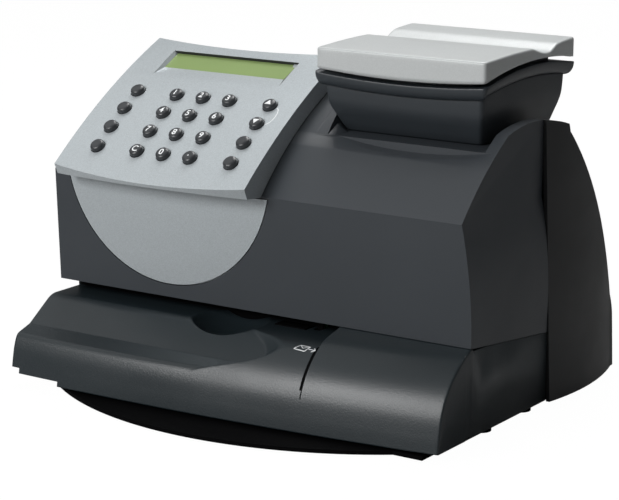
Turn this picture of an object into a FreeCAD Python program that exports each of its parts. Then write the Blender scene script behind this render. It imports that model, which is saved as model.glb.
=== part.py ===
"""Desktop postage meter with a letter scale on top: a parametric model in millimetres.

+X runs to the right of the user, +Y to the back and +Z up. The origin is on the table,
under the middle of the machine. All driving sizes are in the spreadsheet "Sizes".
"""
import FreeCAD, Part
import math
import os
import Sketcher

Vector = FreeCAD.Vector
Placement = FreeCAD.Placement
Rotation = FreeCAD.Rotation

DRIVING_SIZES = {
    # housing: plan
    "cover_half": 156.9,        # half width of the main cover at its foot
    "rear_bow": 6.4,            # how far the rear cover's sides bow out past the main cover
    "rear_bulge_y": 69.0,
    "face_y": -61.0,            # front face of the main cover, at its foot
    "seam_y": 34.0,             # where main and front cover meet the rear cover
    "rear_y": 142.0,            # back of the rear cover, at its foot
    "cover_skin": 2.5,          # moulded wall of every cover
    "seam_gap": 0.4,            # open joint between neighbouring covers
    # housing: heights
    "slot_top": 60.7,           # lower edge of the main cover's front face
    "seam_drop": 11.0,          # how far that edge falls towards the back
    "ridge_lean": 3.0,          # how far the front face leans out at the ridge
    "ridge_height": 135.5,
    "ridge_inset": 5.9,         # how far the right side leans in at the ridge
    "seat_depth": 27.0,         # flat top that carries the scale, below the crown
    "seat_left": 30.9,
    "seat_flare": 8.0,          # how far the seat's left wall leans out beside the tray
    "seat_right": 143.0,
    "scoop_x": 93.0,            # middle of the crescent hollow
    "scoop_half": 54.0,
    "scoop_edge_y": -24.0,
    "scoop_run": 9.3,           # how far it reaches down the slope: to the front and down
    "scoop_drop": 6.8,
    "cheek_rise": 13.0,         # crown of the cheek beside the scale, above the seat
    "crown_rise": 62.5,         # highest point of the main cover, above the ridge
    "rear_shoulder_y": 60.0,    # where the rear cover turns down
    "rear_shoulder_rise": 2.0,  # how high it does so, above the seat
    # front cover
    "deck_height": 52.6,
    "guide_y": -42.0,           # wall that the envelope's top edge rests on
    "front_y": -115.0,          # foremost point of the front cover's foot
    "front_y_at": -92.5,
    "front_bow": 1840.0,        # plan radius of the front cover's foot
    "front_foot": 5.3,
    "stop_edge_x": 64.5,        # raised right part that stops the envelope
    "groove_width": 0.8,
    # base
    "foot_drop": 1.0,           # rubber feet stand out this far under the pan
    "pan_floor": 2.5,
    "apron_radius": 219.0,
    "apron_front": -142.0,
    "foot_radius": 9.0,
    # control panel
    "panel_bend": 450.0,        # side-view radius of the panel
    "panel_tilt": 34.1,         # slope of the panel at its second key row, degrees
    "panel_y": -40.2,           # panel surface at the second key row
    "panel_rise": 39.8,         # that place above the ridge
    "panel_left": -142.0,
    "panel_right": 8.5,
    "panel_taper": 3.3,
    "panel_low": -53.0,         # ends of the panel, measured along its surface
    "panel_high": 76.3,
    "panel_bow": 6.2,           # bow of its lower and upper edge
    # display
    "recess_left": -117.0,
    "recess_right": -16.5,
    "recess_low": 36.5,
    "recess_high": 63.4,
    "display_right": -21.1,
    "display_low": 49.9,
    "display_depth_low": 4.5,
    "display_depth_high": 1.5,
    "window_thick": 1.2,
    # keys
    "key_radius": 4.75,
    "key_rise": 4.0,
    "key_gap": 0.45,
    "key_flange": 1.0,
    "key_travel": 1.2,
    "key_pitch_x": 21.0,
    "key_pitch_s": 17.4,
    "key_middle_x": -64.0,
    "key_left_x": -116.8,
    "key_right_x": -11.5,
    "board_thick": 1.6,
    # bib panel
    "bib_x": -66.0,
    "bib_rise": 14.0,           # middle of its circle above the ridge
    "bib_radius": 80.0,
    "bib_gap": 0.7,
    "bib_bulge": 5.2,
    # scale
    "platter_left": 21.2,
    "platter_right": 141.9,
    "platter_front": -22.7,
    "platter_back": 90.7,
    "scale_rise": 53.7,         # platter's front edge above the seat
    "platter_rise": 2.8,
    "platter_skin": 2.0,
    "platter_travel": 0.5,
    "arch_rise": 7.0,           # how far the platter's side edge arches up
    "front_sag": 3.0,           # how far its front edge hangs down in the middle
    "skirt_drop": 12.7,
    "groove_y": 54.0,           # cross channel in the platter
    "groove_half": 14.0,
    "groove_drop": 4.4,
    "platter_corner": 2.5,      # plan radius of the platter's corners
    "rim_gap": 3.0,
    "rim_thick": 8.0,
    "rim_width": 8.0,
    "tray_foot_left": 32.5,
    "tray_foot_right": 129.9,
    "tray_foot_front": -4.5,
    "tray_foot_back": 79.0,
    "tray_skin": 2.5,
    # print mechanism
    "rod_radius": 4.0,
    "rod_y": -22.0,
    "rod_height": 92.0,
    "running_gap": 0.05,
    "park_side": 51.9,          # from the cover's right side to the parked carriage
    "carriage_width": 38.0,
    "carriage_front": -56.0,
    "carriage_back": -15.0,
    "carriage_hang": 30.5,      # how far the carriage reaches below and above its rod
    "carriage_rise": 12.0,
    "frame_left": -72.0,
    "frame_side": 10.9,
    "frame_steel": 1.6,
    "frame_back_y": -6.0,
    "gear_teeth": 40,
    "pinion_teeth": 16,
    "gear_spread": 28.4,        # distance between the two gears' axes
    "gear_side": 34.9,
    "gear_rise": 26.0,          # gear axes above the rod
    "gear_front": -13.5,
    "gear_face": 5.0,
    "idler_x": -56.0,
    "pulley_radius": 8.0,
    "belt_thick": 1.2,
    "belt_width": 5.0,
    "shaft_radius": 2.0,
}

TIED_SIZES = {
    "rear_bulge": "cover_half + rear_bow",
    "crown_height": "ridge_height + crown_rise",
    "scale_seat": "ridge_height + crown_rise - seat_depth",
    "panel_height": "ridge_height + panel_rise",
    "bib_height": "ridge_height + bib_rise",
    "cheek_height": "scale_seat + cheek_rise",
    "rear_shoulder_height": "scale_seat + rear_shoulder_rise",
    "platter_height": "scale_seat + scale_rise",
    "carriage_park_x": "cover_half - park_side",
    "carriage_low": "rod_height - carriage_hang",
    "carriage_high": "rod_height + carriage_rise",
    "frame_right": "cover_half - frame_side",
    "gear_x": "cover_half - gear_side",
    "gear_height": "rod_height + gear_rise",
}

doc = FreeCAD.newDocument("postage_meter")
sheet = doc.addObject("Spreadsheet::Sheet", "Sizes")
cells = [(name, str(value)) for name, value in DRIVING_SIZES.items()]
cells += [(name, "=" + formula) for name, formula in TIED_SIZES.items()]
for row, (name, content) in enumerate(cells, start=1):
    sheet.set("A%d" % row, name)
    sheet.set("B%d" % row, content)
    sheet.setAlias("B%d" % row, name)
doc.recompute()

NODES = []


class Size:
    """A length together with the spreadsheet expression that drives it."""

    def __init__(self, text, value):
        self.text = text
        self.value = value

    def _with(self, sign, other, value):
        return Size("(%s %s %s)" % (self.text, sign, words(other)), value)

    def __add__(self, other):
        return self._with("+", other, self.value + number(other))

    def __sub__(self, other):
        return self._with("-", other, self.value - number(other))

    def __mul__(self, other):
        return self._with("*", other, self.value * number(other))

    def __truediv__(self, other):
        return self._with("/", other, self.value / number(other))

    def __neg__(self):
        return Size("(0 - %s)" % self.text, -self.value)

    def __radd__(self, other):
        return self + other

    def __rsub__(self, other):
        return -self + other

    def __float__(self):
        return float(self.value)


class Sizes:
    """Gives each spreadsheet cell as a Size, by its alias."""

    def __getattr__(self, name):
        return Size("Sizes.%s" % name, float(sheet.get(name)))


class Values:
    """Gives each spreadsheet cell as a plain number, by its alias."""

    def __getattr__(self, name):
        return float(sheet.get(name))


def number(thing):
    return float(thing)


def words(thing):
    return thing.text if isinstance(thing, Size) else repr(float(thing))


def sine(angle):
    return Size("sin(%s)" % angle.text, math.sin(math.radians(angle.value)))


def cosine(angle):
    return Size("cos(%s)" % angle.text, math.cos(math.radians(angle.value)))


S = Sizes()
v = Values()
TURN_TO = {
    "x": Rotation(Vector(0, 1, 0), 90),
    "y": Rotation(Vector(1, 0, 0), -90),
    "z": Rotation(),
}


def bind(thing, name, size):
    """Drives one property by a Size, or sets it to a plain number."""
    thing.setExpression(name, words(size))


def move_to(thing, place):
    for letter, size in zip("xyz", place):
        bind(thing, "Placement.Base.%s" % letter, size)
    return thing


def block(name, x, y, z):
    """A rectangular block between two limits along each axis."""
    solid = doc.addObject("Part::Box", name)
    bind(solid, "Length", x[1] - x[0])
    bind(solid, "Width", y[1] - y[0])
    bind(solid, "Height", z[1] - z[0])
    return move_to(solid, (x[0], y[0], z[0]))


def rod(name, place, radius, length, axis="z"):
    """A round bar that starts at a place and runs along an axis."""
    solid = doc.addObject("Part::Cylinder", name)
    bind(solid, "Radius", radius)
    bind(solid, "Height", length)
    solid.Placement = Placement(Vector(), TURN_TO[axis])
    return move_to(solid, place)


def fused(name, solids):
    whole = doc.addObject("Part::MultiFuse", name)
    whole.Shapes = solids
    whole.Refine = True
    return whole


def cut(name, base, tools):
    """The base without the tools."""
    rest = doc.addObject("Part::Cut", name)
    rest.Base = base
    rest.Tool = tools[0] if len(tools) == 1 else fused(name + "_tools", tools)
    return rest


def group(name, solids):
    """Separate like solids that share one node."""
    whole = doc.addObject("Part::Compound", name)
    whole.Links = solids
    return whole


def formed(name, shape, place=Placement()):
    """A free-form sub-part, worked out from the sheet's values."""
    solid = doc.addObject("Part::Feature", name)
    solid.Shape = shape
    solid.Placement = place
    return solid


def node(solid, label):
    """Names a finished sub-part and lists it for writing."""
    solid.Label = label
    NODES.append(solid)
    return solid


def body(name):
    return doc.addObject("PartDesign::Body", name)


def plane_of(owner, role):
    return next(f for f in owner.Origin.OriginFeatures if f.Role == role)


def sketch_on(owner, name, role):
    sketch = owner.newObject("Sketcher::SketchObject", name)
    sketch.AttachmentSupport = [(plane_of(owner, role), "")]
    sketch.MapMode = "FlatFace"
    return sketch


def draw_outline(sketch, points):
    """Draws a closed outline whose corners are each tied to the sheet."""
    spots = [Vector(number(a), number(b), 0) for a, b in points]
    for i, spot in enumerate(spots):
        sketch.addGeometry(Part.LineSegment(spot, spots[(i + 1) % len(spots)]), False)
    for i in range(len(spots)):
        sketch.addConstraint(Sketcher.Constraint("Coincident", i, 2, (i + 1) % len(spots), 1))
    for i, (a, b) in enumerate(points):
        for kind, size in (("DistanceX", a), ("DistanceY", b)):
            index = sketch.addConstraint(Sketcher.Constraint(kind, -1, 1, i, 1, number(size)))
            sketch.setExpression("Constraints[%d]" % index, words(size))


def draw_circle(sketch, radius):
    """Draws a circle about the sketch's origin."""
    index = sketch.addGeometry(Part.Circle(Vector(), Vector(0, 0, 1), number(radius)), False)
    sketch.addConstraint(Sketcher.Constraint("Coincident", index, 3, -1, 1))
    tie = sketch.addConstraint(Sketcher.Constraint("Radius", index, number(radius)))
    sketch.setExpression("Constraints[%d]" % tie, words(radius))


def turned(name, points):
    """A body of revolution about its own Z axis, from (radius, height) corners."""
    owner = body(name)
    sketch = sketch_on(owner, name + "_profile", "XZ_Plane")
    draw_outline(sketch, points)
    turn = owner.newObject("PartDesign::Revolution", name + "_turn")
    turn.Profile = sketch
    turn.ReferenceAxis = (sketch, ["V_Axis"])
    turn.Angle = 360
    return owner


def wire(*edges):
    return Part.Wire([e.toShape() for e in edges])


def line(a, b):
    return Part.LineSegment(Vector(*a), Vector(*b))


def arc(a, middle, b):
    return Part.Arc(Vector(*a), Vector(*middle), Vector(*b))


def smooth(points):
    """A smooth curve through a few points."""
    curve = Part.BSplineCurve()
    curve.interpolate([Vector(*p) for p in points])
    return curve


def prism(outline, way):
    return Part.Face(outline).extrude(Vector(*way))


def lump(low, high):
    """A rectangular solid between two corners."""
    return Part.makeBox(high[0] - low[0], high[1] - low[1], high[2] - low[2], Vector(*low))


def drum(place, way, radius, length):
    return Part.makeCylinder(radius, length, Vector(*place), Vector(*way))


# Housing outlines. Every cover is cut from the same few outlines, so that they meet.

REACH = 400.0                   # longer than the machine, for cutting tools


def slope_points(inset):
    """Side view of the sloped top, from the ridge to the crown, moved inwards."""
    ridge = (v.face_y - v.ridge_lean + inset, v.ridge_height - 0.4 * inset)
    middle = (v.face_y + 23.2 + 0.66 * inset, v.ridge_height + 25.1 - 0.75 * inset)
    top = (v.face_y + 68.4 + 0.5 * inset, v.ridge_height + 53.9 - 0.86 * inset)
    return ridge, middle, top


def seam_height(y):
    """Height of the seam between main and front cover."""
    return v.slot_top - v.seam_drop * (y - v.face_y) / (v.seam_y - v.face_y)


def main_side(inset, back):
    """Side view of the main cover, closed at the back."""
    x = -REACH / 2
    ridge, middle, top = slope_points(inset)
    crown = (v.seam_y - 5, v.crown_height - inset)
    foot = (v.face_y + inset, v.slot_top)
    shoulder = (0.5 * (top[0] + crown[0]), 0.5 * (top[1] + crown[1]) + 2.2)
    return wire(
        line((x, *foot), (x, *ridge)),
        arc((x, *ridge), (x, *middle), (x, *top)),
        arc((x, *top), (x, *shoulder), (x, *crown)),
        line((x, *crown), (x, back, crown[1])),
        line((x, back, crown[1]), (x, back, seam_height(back))),
        line((x, back, seam_height(back)), (x, *foot)),
    )


def front_view(inset, left, bottom):
    """Front view of the main cover: an upright left side and a right side that leans in."""
    y = -REACH / 2
    foot = v.cover_half - inset
    ridge = v.cover_half - v.ridge_inset - inset
    lean = v.cover_half - 0.22 * v.ridge_inset - inset
    bulge_height = v.slot_top + 0.58 * (v.ridge_height - v.slot_top)
    top = v.crown_height + 20
    return wire(
        line((left, y, bottom), (foot, y, bottom)),
        line((foot, y, bottom), (foot, y, v.slot_top)),
        arc((foot, y, v.slot_top), (lean, y, bulge_height), (ridge, y, v.ridge_height)),
        line((ridge, y, v.ridge_height), (ridge, y, top)),
        line((ridge, y, top), (left, y, top)),
        line((left, y, top), (left, y, bottom)),
    )


def seat_space(grow):
    """The room that the scale stands in, opened by a wall's thickness for the inside."""
    y = -REACH / 2
    low = (v.seat_left - grow, y, v.scale_seat - grow)
    high = (v.seat_left - v.seat_flare - grow, y, v.scale_seat + 22)
    left_top = (high[0], y, v.scale_seat + REACH)
    right_top = (v.seat_right + grow, y, v.scale_seat + REACH)
    right_low = (v.seat_right + grow, y, v.scale_seat - grow)
    outline = wire(line(low, high), line(high, left_top), line(left_top, right_top),
                   line(right_top, right_low), line(right_low, low))
    return prism(outline, (0, REACH, 0))


def cheek_space(inset):
    """What is taken off above the crown of the right cheek."""
    x = v.seat_right - v.cover_skin - 3
    y = v.face_y + 47.5
    flank = (x, y, v.ridge_height + 43.5 - inset)
    crown = (x, y + 35, v.cheek_height - inset)
    back = (x, v.rear_shoulder_y, v.rear_shoulder_height + 4.5 - inset)
    outline = wire(
        arc(flank, crown, back),
        line(back, (x, v.rear_shoulder_y, v.crown_height + 20)),
        line((x, v.rear_shoulder_y, v.crown_height + 20), (x, y, v.crown_height + 20)),
        line((x, y, v.crown_height + 20), flank),
    )
    return prism(outline, (REACH, 0, 0))


def main_outer():
    hull = prism(main_side(0, v.seam_y), (REACH, 0, 0))
    hull = hull.common(prism(front_view(0, -v.cover_half, -50), (0, REACH, 0)))
    return hull.cut(seat_space(0)).cut(cheek_space(0))


def main_inner():
    wall = v.cover_skin
    hull = prism(main_side(wall, v.seam_y + 1), (REACH, 0, 0))
    hull = hull.common(prism(front_view(wall, -v.cover_half + wall, -50), (0, REACH, 0)))
    skirt = lump((-v.cover_half + wall, v.face_y + wall, 0), (v.cover_half - wall, v.seam_y + 1, v.slot_top))
    return hull.cut(seat_space(wall)).cut(cheek_space(wall)).cut(finger_scoop(wall)).fuse(skirt)


def finger_scoop(grow):
    """The crescent hollow under the front edge of the scale's seat: a slice of a large ball."""
    flatness = 280.0
    length = math.hypot(v.scoop_run, v.scoop_drop)
    tilt = math.atan2(v.scoop_drop, v.scoop_run)
    along = (v.scoop_half ** 2 + length ** 2) / (2 * length)
    y = v.scoop_edge_y - v.scoop_run + along * math.cos(tilt) - flatness * math.sin(tilt)
    z = v.scale_seat - v.scoop_drop + along * math.sin(tilt) + flatness * math.cos(tilt)
    ball = Part.makeSphere(math.hypot(along, flatness) + grow, Vector(v.scoop_x, y, z), Vector(0, 1, 0))
    reach = v.scoop_half + grow
    low = (v.scoop_x - reach, v.scoop_edge_y - 40, v.scale_seat - 30)
    return ball.common(lump(low, (v.scoop_x + reach, v.scoop_edge_y + grow, v.scale_seat + 2)))


def bib_hole(gap):
    """Round opening in the front face that the bib panel fills."""
    hole = drum((v.bib_x, v.face_y - 30, v.bib_height), (0, 1, 0), v.bib_radius + gap, 36)
    return hole.common(lump((-REACH / 2, -REACH, 0), (REACH / 2, REACH, v.ridge_height - 1.5 + gap)))


def main_cover():
    shell = main_outer().cut(main_inner()).cut(finger_scoop(0)).cut(bib_hole(v.bib_gap))
    cable_way = lump((v.bib_x - 20, v.face_y + 50, 150), (v.bib_x + 20, v.face_y + 62, 200))
    socket_way = lump((74, 10, v.scale_seat - 5), (90, 18, v.scale_seat + 5))
    return node(formed("MainCover", shell.cut(cable_way).cut(socket_way)), "main_cover")


def rear_side(inset, front):
    """Side view of the rear cover."""
    x = -REACH / 2
    floor = v.front_foot - 0.8 - 4 * inset
    crown = (front, v.crown_height - inset)
    shoulder = (v.rear_shoulder_y - inset, v.rear_shoulder_height - 0.5 * inset)
    between = (0.5 * (front + shoulder[0]) + 4, 0.5 * (crown[1] + shoulder[1]) + 4.5)
    back_rise = (v.rear_y - 34 - inset, 105.0)
    foot = (v.rear_y - inset, floor)
    return wire(
        line((x, front, floor), (x, *crown)),
        arc((x, *crown), (x, *between), (x, *shoulder)),
        arc((x, *shoulder), (x, *back_rise), (x, *foot)),
        line((x, *foot), (x, front, floor)),
    )


def rear_plan(inset, height, lean):
    """Plan of the rear cover at one height: bowed sides, round corners and a bowed back."""
    front = v.seam_y
    start = v.cover_half + 2.8 - lean - inset
    bulge = v.rear_bulge - lean - inset
    corner = v.cover_half - 2.5 - lean - inset
    turn = v.rear_y - 12
    back_corner = corner - 12
    back = v.rear_y - 3.5 - inset
    middle_back = v.rear_y + 0.0 - inset
    edges = []
    for side in (1, -1):
        shoulder = (side * corner, turn, height)
        edges.append(arc((side * start, front, height), (side * bulge, v.rear_bulge_y, height), shoulder))
        hip = (side * (corner - 3.0), turn + 7.5, height)
        edges.append(arc(shoulder, hip, (side * back_corner, back, height)))
    edges.append(arc((-back_corner, back, height), (0, middle_back, height), (back_corner, back, height)))
    edges.append(line((-start, front, height), (start, front, height)))
    return Part.Wire(Part.__sortEdges__([e.toShape() for e in edges]))


def rear_hull(inset, front):
    lean = 8.0
    tall = Part.makeLoft([rear_plan(inset, 0, 0), rear_plan(inset, v.crown_height + 10, lean)], True, True)
    return tall.common(prism(rear_side(inset, front), (REACH, 0, 0)))


def rear_cover():
    wall = v.cover_skin
    front = v.seam_y + v.seam_gap
    outer = rear_hull(0, front).cut(seat_space(0)).cut(cheek_space(0))
    inner = rear_hull(wall, front - 5).cut(seat_space(wall)).cut(cheek_space(wall))
    inner = inner.fuse(lump((-v.cover_half + 6, front - 5, -5), (v.cover_half - 6, v.rear_y - 20, 30)))
    shell = outer.cut(inner)
    vents = [lump((-60 + 12 * i, 60, 110), (-56 + 12 * i, 200, 150)) for i in range(11)]
    jacks = [lump(*jack_window("power")), lump(*jack_window("data"))]
    shell = shell.cut(vents + jacks)
    for x, y in cover_screw_places()[4:]:
        shell = shell.fuse([drum((x, y, 6.4), (0, 0, 1), 4.2, 16), wall_rib(x, y, v.rear_bulge - 7)])
        shell = shell.cut(drum((x, y, 0), (0, 0, 1), 1.6, 20))
    return node(formed("RearCover", shell), "rear_cover")


def jack_window(kind):
    """Corners of the cut-outs for the two sockets in the rear cover."""
    if kind == "power":
        return (-112, 110, 16), (-98, 160, 30)
    return (-84, 110, 16), (-68, 160, 30)


def front_foot(x):
    """Plan of the front cover's foot: a very flat arc."""
    return v.front_y + (x - v.front_y_at) ** 2 / (2 * v.front_bow)


def hood_section(x, inset):
    """Side view of the raised front cover at one place, moved inwards."""
    foot = front_foot(x) + inset
    top = (v.face_y, seam_height(v.face_y) - v.seam_gap - 1.3 * inset)
    rises = [(0.0, v.front_foot - 4 * inset), (1.5, 15), (5, 27), (10.5, 37), (19.5, 46.5), (29.5, 53.4)]
    curve = [(x, foot + (0.85 * back if up > 20 else back), up - (0.9 * inset if up > 20 else 0))
             for back, up in rises]
    end = (x, v.seam_y + 2 * inset, seam_height(v.seam_y) - v.seam_gap - 1.3 * inset)
    low = (x, end[1], v.front_foot - 4 * inset)
    return wire(
        smooth(curve + [(x, *top)]),
        line((x, *top), end),
        line(end, low),
        line(low, curve[0]),
    )


def hood_hull(inset):
    half = v.cover_half - inset
    stations = [-half, -half / 3, v.stop_edge_x, half]
    return Part.makeLoft([hood_section(x, inset) for x in stations], True, False)


def deck_space(grow):
    """Room above the flat deck, left of the stop edge and in front of the guide wall."""
    low = (-REACH, -REACH, v.deck_height - grow)
    return lump(low, (v.stop_edge_x + grow, v.guide_y + grow, REACH))


def lap_space(grow):
    """Room above the sloping lap that the envelope's face leans over."""
    x = -REACH
    crest = v.guide_y - 29.8
    outline = wire(
        line((x, crest, v.deck_height - grow), (x, crest - 22.5, v.deck_height - 15.4 - grow)),
        line((x, crest - 22.5, v.deck_height - 15.4 - grow), (x, crest - 80, v.deck_height - 33.5 - grow)),
        line((x, crest - 80, v.deck_height - 33.5 - grow), (x, crest - 80, v.deck_height + 30)),
        line((x, crest - 80, v.deck_height + 30), (x, crest, v.deck_height + 30)),
        line((x, crest, v.deck_height + 30), (x, crest, v.deck_height - grow)),
    )
    space = prism(outline, (2 * REACH, 0, 0))
    tip = (29 + grow, crest - 16.7, 0)
    inner = (5 + grow, crest + 1, 0)
    outer = (-16 + grow, crest - 36, 0)
    far = (-16 + grow, -REACH, 0)
    plan = wire(
        line((-REACH, crest + 1, 0), inner),
        line(inner, tip),
        arc(tip, (13 + grow, crest - 27.5, 0), outer),
        line(outer, far),
        line(far, (-REACH, -REACH, 0)),
        line((-REACH, -REACH, 0), (-REACH, crest + 1, 0)),
    )
    return space.common(prism(plan, (0, 0, REACH)))


def thumb_hollow(grow):
    """Round hollow where the thumb takes hold of the envelope."""
    bowl = Part.makeSphere(40.0 + grow, Vector(-18, v.guide_y - 20, v.deck_height + 31), Vector(1, 0, 0))
    return bowl.common(lump((-REACH, -REACH, 0), (REACH, v.guide_y + grow, REACH)))


def front_cover():
    wall = v.cover_skin
    outer = hood_hull(0).cut(deck_space(0)).cut(lap_space(0)).cut(thumb_hollow(0))
    inner = hood_hull(wall).cut(deck_space(wall)).cut(lap_space(wall)).cut(thumb_hollow(wall))
    shell = outer.cut(inner)
    half = v.cover_half
    well = lump((-half + 6, v.guide_y + wall, 20), (half - 6, v.seam_y + 5, REACH))
    bay = lump((v.stop_edge_x + 5, v.face_y + 3, 40), (half - 6, v.guide_y + wall + 1, REACH))
    front = -REACH
    steps = [lump((-REACH, front, -20), (-117, -66, 8.5)), lump((-REACH, front, -20), (-150, -66, 12))]
    rear = lump((-REACH, v.seam_y, -20), (REACH, REACH, REACH))
    slot = lump((38.5, v.guide_y - 9, 40), (43.5, v.guide_y + wall + 1, REACH))
    mark = lump((v.stop_edge_x - v.groove_width / 2, v.face_y - 43.5, 0),
                (v.stop_edge_x + v.groove_width / 2, v.face_y - 20.5, 58))
    kept = outer.copy()
    kept.translate(Vector(0, 0.7, -0.7))
    mark = mark.cut(kept)
    shell = shell.cut([well, bay, rear, slot, mark] + steps)
    posts = [drum((x, y, 6.4), (0, 0, 1), 4.2, 16) for x, y in cover_screw_places()[:4]]
    ribs = [wall_rib(x, y, half - 1) for x, y in cover_screw_places()[:4]]
    holes = [drum((x, y, 0), (0, 0, 1), 1.6, 20) for x, y in cover_screw_places()]
    return node(formed("FrontCover", shell.fuse(posts + ribs).cut(holes)), "front_cover")


def wall_rib(x, y, reach):
    """Rib that ties a screw post to the side wall."""
    out = math.copysign(reach, x)
    return lump((min(x, out), y - 1.2, 6.4), (max(x, out), y + 1.2, 22))


def cover_screw_places():
    """Screws from below: four into the front cover, two into the rear cover."""
    side = v.cover_half - 10
    corner = (side - 14.9, v.rear_y - 30)
    return [(-side, -30), (side, -30), (-side, 20), (side, 20), (-corner[0], corner[1]), corner]


def foot_places():
    side = v.cover_half - 34.9
    back = v.rear_y - 46
    return [(-side, -58), (side, -78), (-side, back), (side, back)]


def base_chassis():
    low = v.foot_drop
    top = low + v.pan_floor
    half = v.cover_half - 6.9
    back = v.rear_y - 16
    main = lump((-half, -76, low), (half, back, top))
    nose = lump((-115, front_foot(0) + 12, low), (half - 2, -70, top))
    centre = v.apron_front + v.apron_radius
    apron = drum((0, centre, low), (0, 0, 1), v.apron_radius, v.pan_floor)
    apron = apron.common(lump((-REACH, -REACH, 0), (REACH, front_foot(0) + 13, 10)))
    pan = main.fuse([nose, apron])
    side_wall = lump((3 - half, -70, low), (half - 3, back - 4, 6))
    side_wall = side_wall.cut(lump((5 - half, -68, 0), (half - 5, back - 6, 30)))
    solid = pan.fuse(side_wall)
    pads = [drum((x, y, low), (0, 0, 1), 6.5, 5) for x, y in cover_screw_places()]
    stands = [drum((x, y, low), (0, 0, 1), 3.5, 9.4) for x, y in board_corners()]
    ears = [lump((x, v.guide_y - 8, low), (x + 2.5, v.guide_y + 1, 44)) for x in (35.0, 44.5)]
    solid = solid.fuse(pads + stands + ears)
    cuts = [drum((x, y, 0), (0, 0, 1), 1.7, 20) for x, y in cover_screw_places()]
    cuts += [drum((x, y, 0), (0, 0, 1), 3.4, 4) for x, y in cover_screw_places()]
    cuts += [drum((x, y, 0), (0, 0, 1), v.foot_radius + 0.2, low + 1.2) for x, y in foot_places()]
    cuts += [lump((-60 + 14 * i, 10, 0), (-54 + 14 * i, 34, 8)) for i in range(10)]
    cuts.append(drum((30, v.guide_y - 4, 40), (1, 0, 0), 1.55, 30))
    return node(formed("BaseChassis", solid.cut(cuts).removeSplitter()), "base_chassis")


def board_corners():
    return [(-114, 46), (54, 46), (-114, 108), (54, 108)]


def foot_pads():
    feet = []
    for i, (x, y) in enumerate(foot_places()):
        feet.append(rod("foot_%d" % i, (x, y, 0), S.foot_radius, S.foot_drop + 1.2))
    return node(group("FootPads", feet), "foot_pads")


def cover_screws():
    screws = []
    for i, (x, y) in enumerate(cover_screw_places()):
        head = rod("screw_head_%d" % i, (x, y, 2.2), 3, 1.7)
        shank = rod("screw_shank_%d" % i, (x, y, 3.9), 1.45, 14)
        screws.append(fused("screw_%d" % i, [head, shank]))
    return node(group("CoverScrews", screws), "cover_screws")


# Control panel. Places on it are given by x, by the arc length s along its bent surface
# and by the height h above that surface.

def panel_angle(s):
    return math.radians(v.panel_tilt) - s / v.panel_bend


def panel_spot(s, h):
    angle = panel_angle(s)
    tilt = math.radians(v.panel_tilt)
    y = v.panel_y + v.panel_bend * (math.sin(tilt) - math.sin(angle)) - h * math.sin(angle)
    z = v.panel_height + v.panel_bend * (math.cos(angle) - math.cos(tilt)) + h * math.cos(angle)
    return y, z


def panel_normal(s):
    return 0, -math.sin(panel_angle(s)), math.cos(panel_angle(s))


def slab(spots, left, right):
    """A prism along X from a side view given as (s, h) corners."""
    corners = [(left, *panel_spot(s, h)) for s, h in spots]
    edges = [line(a, b) for a, b in zip(corners, corners[1:] + corners[:1])]
    return prism(wire(*edges), (right - left, 0, 0))


def panel_plan(inset):
    """Outline of the panel seen square to its upper end, as a tall prism."""
    base_y, base_z = panel_spot(v.panel_high, 0)
    turn = panel_angle(v.panel_high)

    def flat(x, s):
        along = -v.panel_bend * math.sin((v.panel_high - s) / v.panel_bend)
        return x, base_y + along * math.cos(turn), base_z + along * math.sin(turn)

    left_low = v.panel_left + inset
    left_high = v.panel_left + v.panel_taper + inset
    right = v.panel_right - inset
    middle = 0.5 * (v.panel_left + v.panel_right)
    low = v.panel_low + inset
    high = v.panel_high - inset
    outline = wire(
        arc(flat(left_low, low), flat(middle, low - v.panel_bow), flat(right, low)),
        line(flat(right, low), flat(right, high)),
        arc(flat(right, high), flat(middle, high - 0.8 * v.panel_bow), flat(left_high, high)),
        line(flat(left_high, high), flat(left_low, low)),
    )
    face = Part.Face(outline)
    face.translate(Vector(0, -40 * math.sin(turn), 40 * math.cos(turn)))
    return face.extrude(Vector(0, 120 * math.sin(turn), -120 * math.cos(turn)))


def panel_hull(inset):
    """Everything under the bent surface, as far down as the lip's underside."""
    x = -REACH / 2
    start = (x, *panel_spot(v.panel_low - 25, -inset))
    end = (x, *panel_spot(v.panel_high + 20, -inset))
    back = (x, end[1] + 20, 120)
    front = (x, start[1], 120)
    outline = wire(
        arc(start, (x, *panel_spot(0, -inset)), end),
        line(end, back),
        line(back, front),
        line(front, start),
    )
    return prism(outline, (REACH, 0, 0)).common(panel_plan(inset))


def under_lip(rise):
    x = -REACH / 2
    back = v.face_y - rise
    edge = v.ridge_height - 0.5 + rise
    corners = [(x, back, 100), (x, back, edge), (x, back - 50, edge + 3.8)]
    corners.append((x, back - 50, 100))
    edges = [line(a, b) for a, b in zip(corners, corners[1:] + corners[:1])]
    return prism(wire(*edges), (REACH, 0, 0))


def key_places():
    """Every key: name, column position and row number."""
    columns = (S.key_left_x, S.key_middle_x - S.key_pitch_x, S.key_middle_x,
               S.key_middle_x + S.key_pitch_x, S.key_right_x)
    rows = (
        ("menu_key_1", "key_1", "key_2", "key_3", "key_up"),
        ("menu_key_2", "key_4", "key_5", "key_6", "key_down"),
        ("menu_key_3", "key_7", "key_8", "key_9", "key_back"),
        ("menu_key_4", "key_clear", "key_0", "key_point", "key_enter"),
    )
    return [(name, column, 1 - i) for i, row in enumerate(rows) for name, column in zip(row, columns)]


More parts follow.
